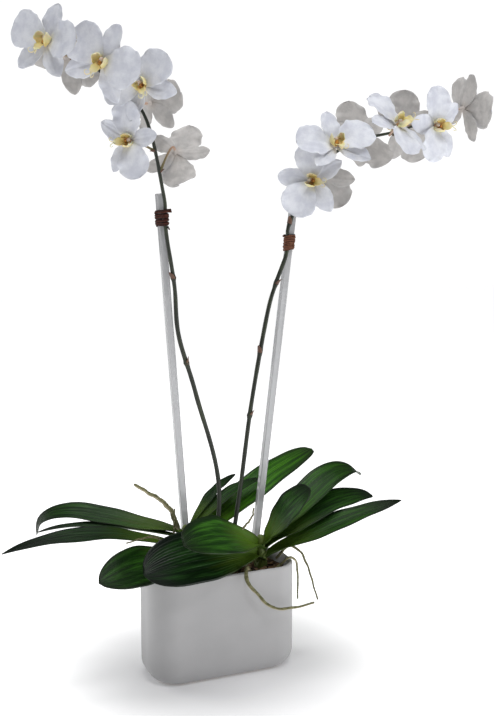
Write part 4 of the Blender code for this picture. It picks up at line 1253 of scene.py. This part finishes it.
# %% Roots
Root = namedtuple("Root", "route start tip")
ROOTS = {
    "root_front": Root([(34, -28, 130), (24, -41, 141), (20, -52, 128), (36, -58, 106), (54, -59, 91),
                        (82, -54, 85), (114, -46, 84)], 2.6, 1.3),
    "root_corner": Root([(74, -24, 130), (90, -28, 142), (102, -22, 125), (104, -20, 82)], 1.7, 1.0),
    "root_end": Root([(82, -2, 134), (100, -2, 147), (120, -5, 130), (138, -10, 72)], 1.9, 1.0),
    "root_high": Root([(-52, 0, 190), (-68, -5, 222), (-112, -20, 256)], 3.4, 1.9),
    "root_spur": Root([(-60, -8, 182), (-60, -12, 218)], 1.4, 0.8),
    "root_low": Root([(-58, -10, 168), (-90, -18, 188), (-124, -22, 186)], 1.6, 0.9),
    "root_middle": Root([(24, -28, 188), (34, -32, 202), (36, -34, 214)], 1.5, 0.9),
}
root_olive = Finish("root_olive", Roughness=0.7, Specular_IOR_Level=0.3)
mottle = root_olive.noise(260.0, 4.0, 0.6)
facing_up = root_olive.part(root_olive.node("ShaderNodeNewGeometry", output=1), 2)
upper = root_olive.mix(mottle.between(0.35, 0.65), (0.085, 0.085, 0.035), (0.21, 0.20, 0.10))
# The cream set by which way the surface faces is partly the root's own paler underside and partly a painted
# highlight.
paler_underside_and_painted_highlight = 1 - (facing_up + 0.5 * (mottle - 0.5)).between(-0.7, -0.1)
root_olive.feed({"Base Color": root_olive.mix(paler_underside_and_painted_highlight, upper, (0.50, 0.44, 0.30))})
root_olive.bump(mottle, 0.0006)

for number, (name, root) in enumerate(ROOTS.items()):
    chance = seeded("root", number)
    line = resampled(curve_through(np.array(root.route, float) * MM, 120), 60)
    places = np.linspace(0, 1, 60)
    sway = np.stack([wobble(chance, places, (3.1, 5.3), 0.0007) for _ in range(3)], -1)
    line = line + sway * np.sin(math.pi * places)[:, None]
    radii = np.linspace(root.start, root.tip, 60) * MM * (1 + wobble(chance, places, (4, 9, 17), 0.14))
    root_shape = Shape()
    root_shape.add_tube(*rounded(line, radii), 14)
    root_shape.make(f"{name}_knotty", root_olive, name)
print("roots:", len(ROOTS))

# %% [markdown]
# ## Floor, light and finish
# A plain pale floor and soft light from both sides, the front and above, as in a studio. The floor glows
# with painted light of its own: dim round the pot, where it paints a darker shade round its foot, and
# bright further out, so that the floor fades to white. The sky is white to the camera but dimmer as a
# lamp, which keeps the pot and the petals from washing out.

# %% Floor
floor_white = Finish("floor_white", Roughness=0.9, Specular_IOR_Level=0.0)
floor_spot = floor_white.node("ShaderNodeVectorMath", {"operation": "LENGTH"},
                              {0: floor_white.where()}, output=1)
# The floor's emission is painted light: low next to the pot, which paints a darker shade round its foot, and
# high further out, which paints the floor white.
painted_floor_glow = floor_white.mix(floor_spot.between(0.07, 0.31), (0.17, 0.17, 0.175), (0.95, 0.95, 0.95))
floor_white.feed({"Base Color": (0.80, 0.80, 0.81), "Emission Color": painted_floor_glow, "Emission Strength": 1.0})
FLOOR_REACH = 6.0
floor_mesh = bpy.data.meshes.new("floor")
floor_mesh.from_pydata([(-FLOOR_REACH, -FLOOR_REACH, 0), (FLOOR_REACH, -FLOOR_REACH, 0),
                        (FLOOR_REACH, FLOOR_REACH, 0), (-FLOOR_REACH, FLOOR_REACH, 0)], [], [(0, 1, 2, 3)])
floor_mesh.materials.append(floor_white.material)
floor = add_object("floor", floor_mesh)
floor.location.z = -0.0002

# %% Lights
LIGHTS = {
    "left_softbox": ((-1.2, 1.1, 0.7), 0.9, 9.5),
    "right_softbox": ((1.35, -0.95, 0.25), 0.9, 10.5),
    "top_softbox": ((0.0, 0.15, 2.1), 1.2, 19.0),
    "front_softbox": ((-0.1, -1.1, 1.9), 0.7, 10.5),
}
LIGHT_AIM = Vector((0.0, 0.0, 0.4))
SKY_AS_LAMP = 0.06
SKY_AS_SEEN = 1.05
for name, (spot, size, power) in LIGHTS.items():
    lamp_data = bpy.data.lights.new(name, "AREA")
    lamp_data.shape = "SQUARE"
    lamp_data.size = size
    lamp_data.energy = power
    lamp = add_object(name, lamp_data)
    lamp.location = spot
    lamp.rotation_mode = "QUATERNION"
    lamp.rotation_quaternion = (LIGHT_AIM - Vector(spot)).to_track_quat("-Z", "Y")

world = bpy.data.worlds.new("studio")
bpy.context.scene.world = world
world.use_nodes = True
sky_tree = world.node_tree
background = sky_tree.nodes["Background"]
seen_directly = sky_tree.nodes.new("ShaderNodeLightPath").outputs["Is Camera Ray"]
strength = sky_tree.nodes.new("ShaderNodeMapRange")
strength.inputs["To Min"].default_value = SKY_AS_LAMP
strength.inputs["To Max"].default_value = SKY_AS_SEEN
sky_tree.links.new(seen_directly, strength.inputs["Value"])
sky_tree.links.new(strength.outputs[0], background.inputs["Strength"])
background.inputs["Color"].default_value = (1.0, 1.0, 1.0, 1.0)
bpy.context.scene.view_settings.view_transform = "Standard"
print("lights:", list(LIGHTS))
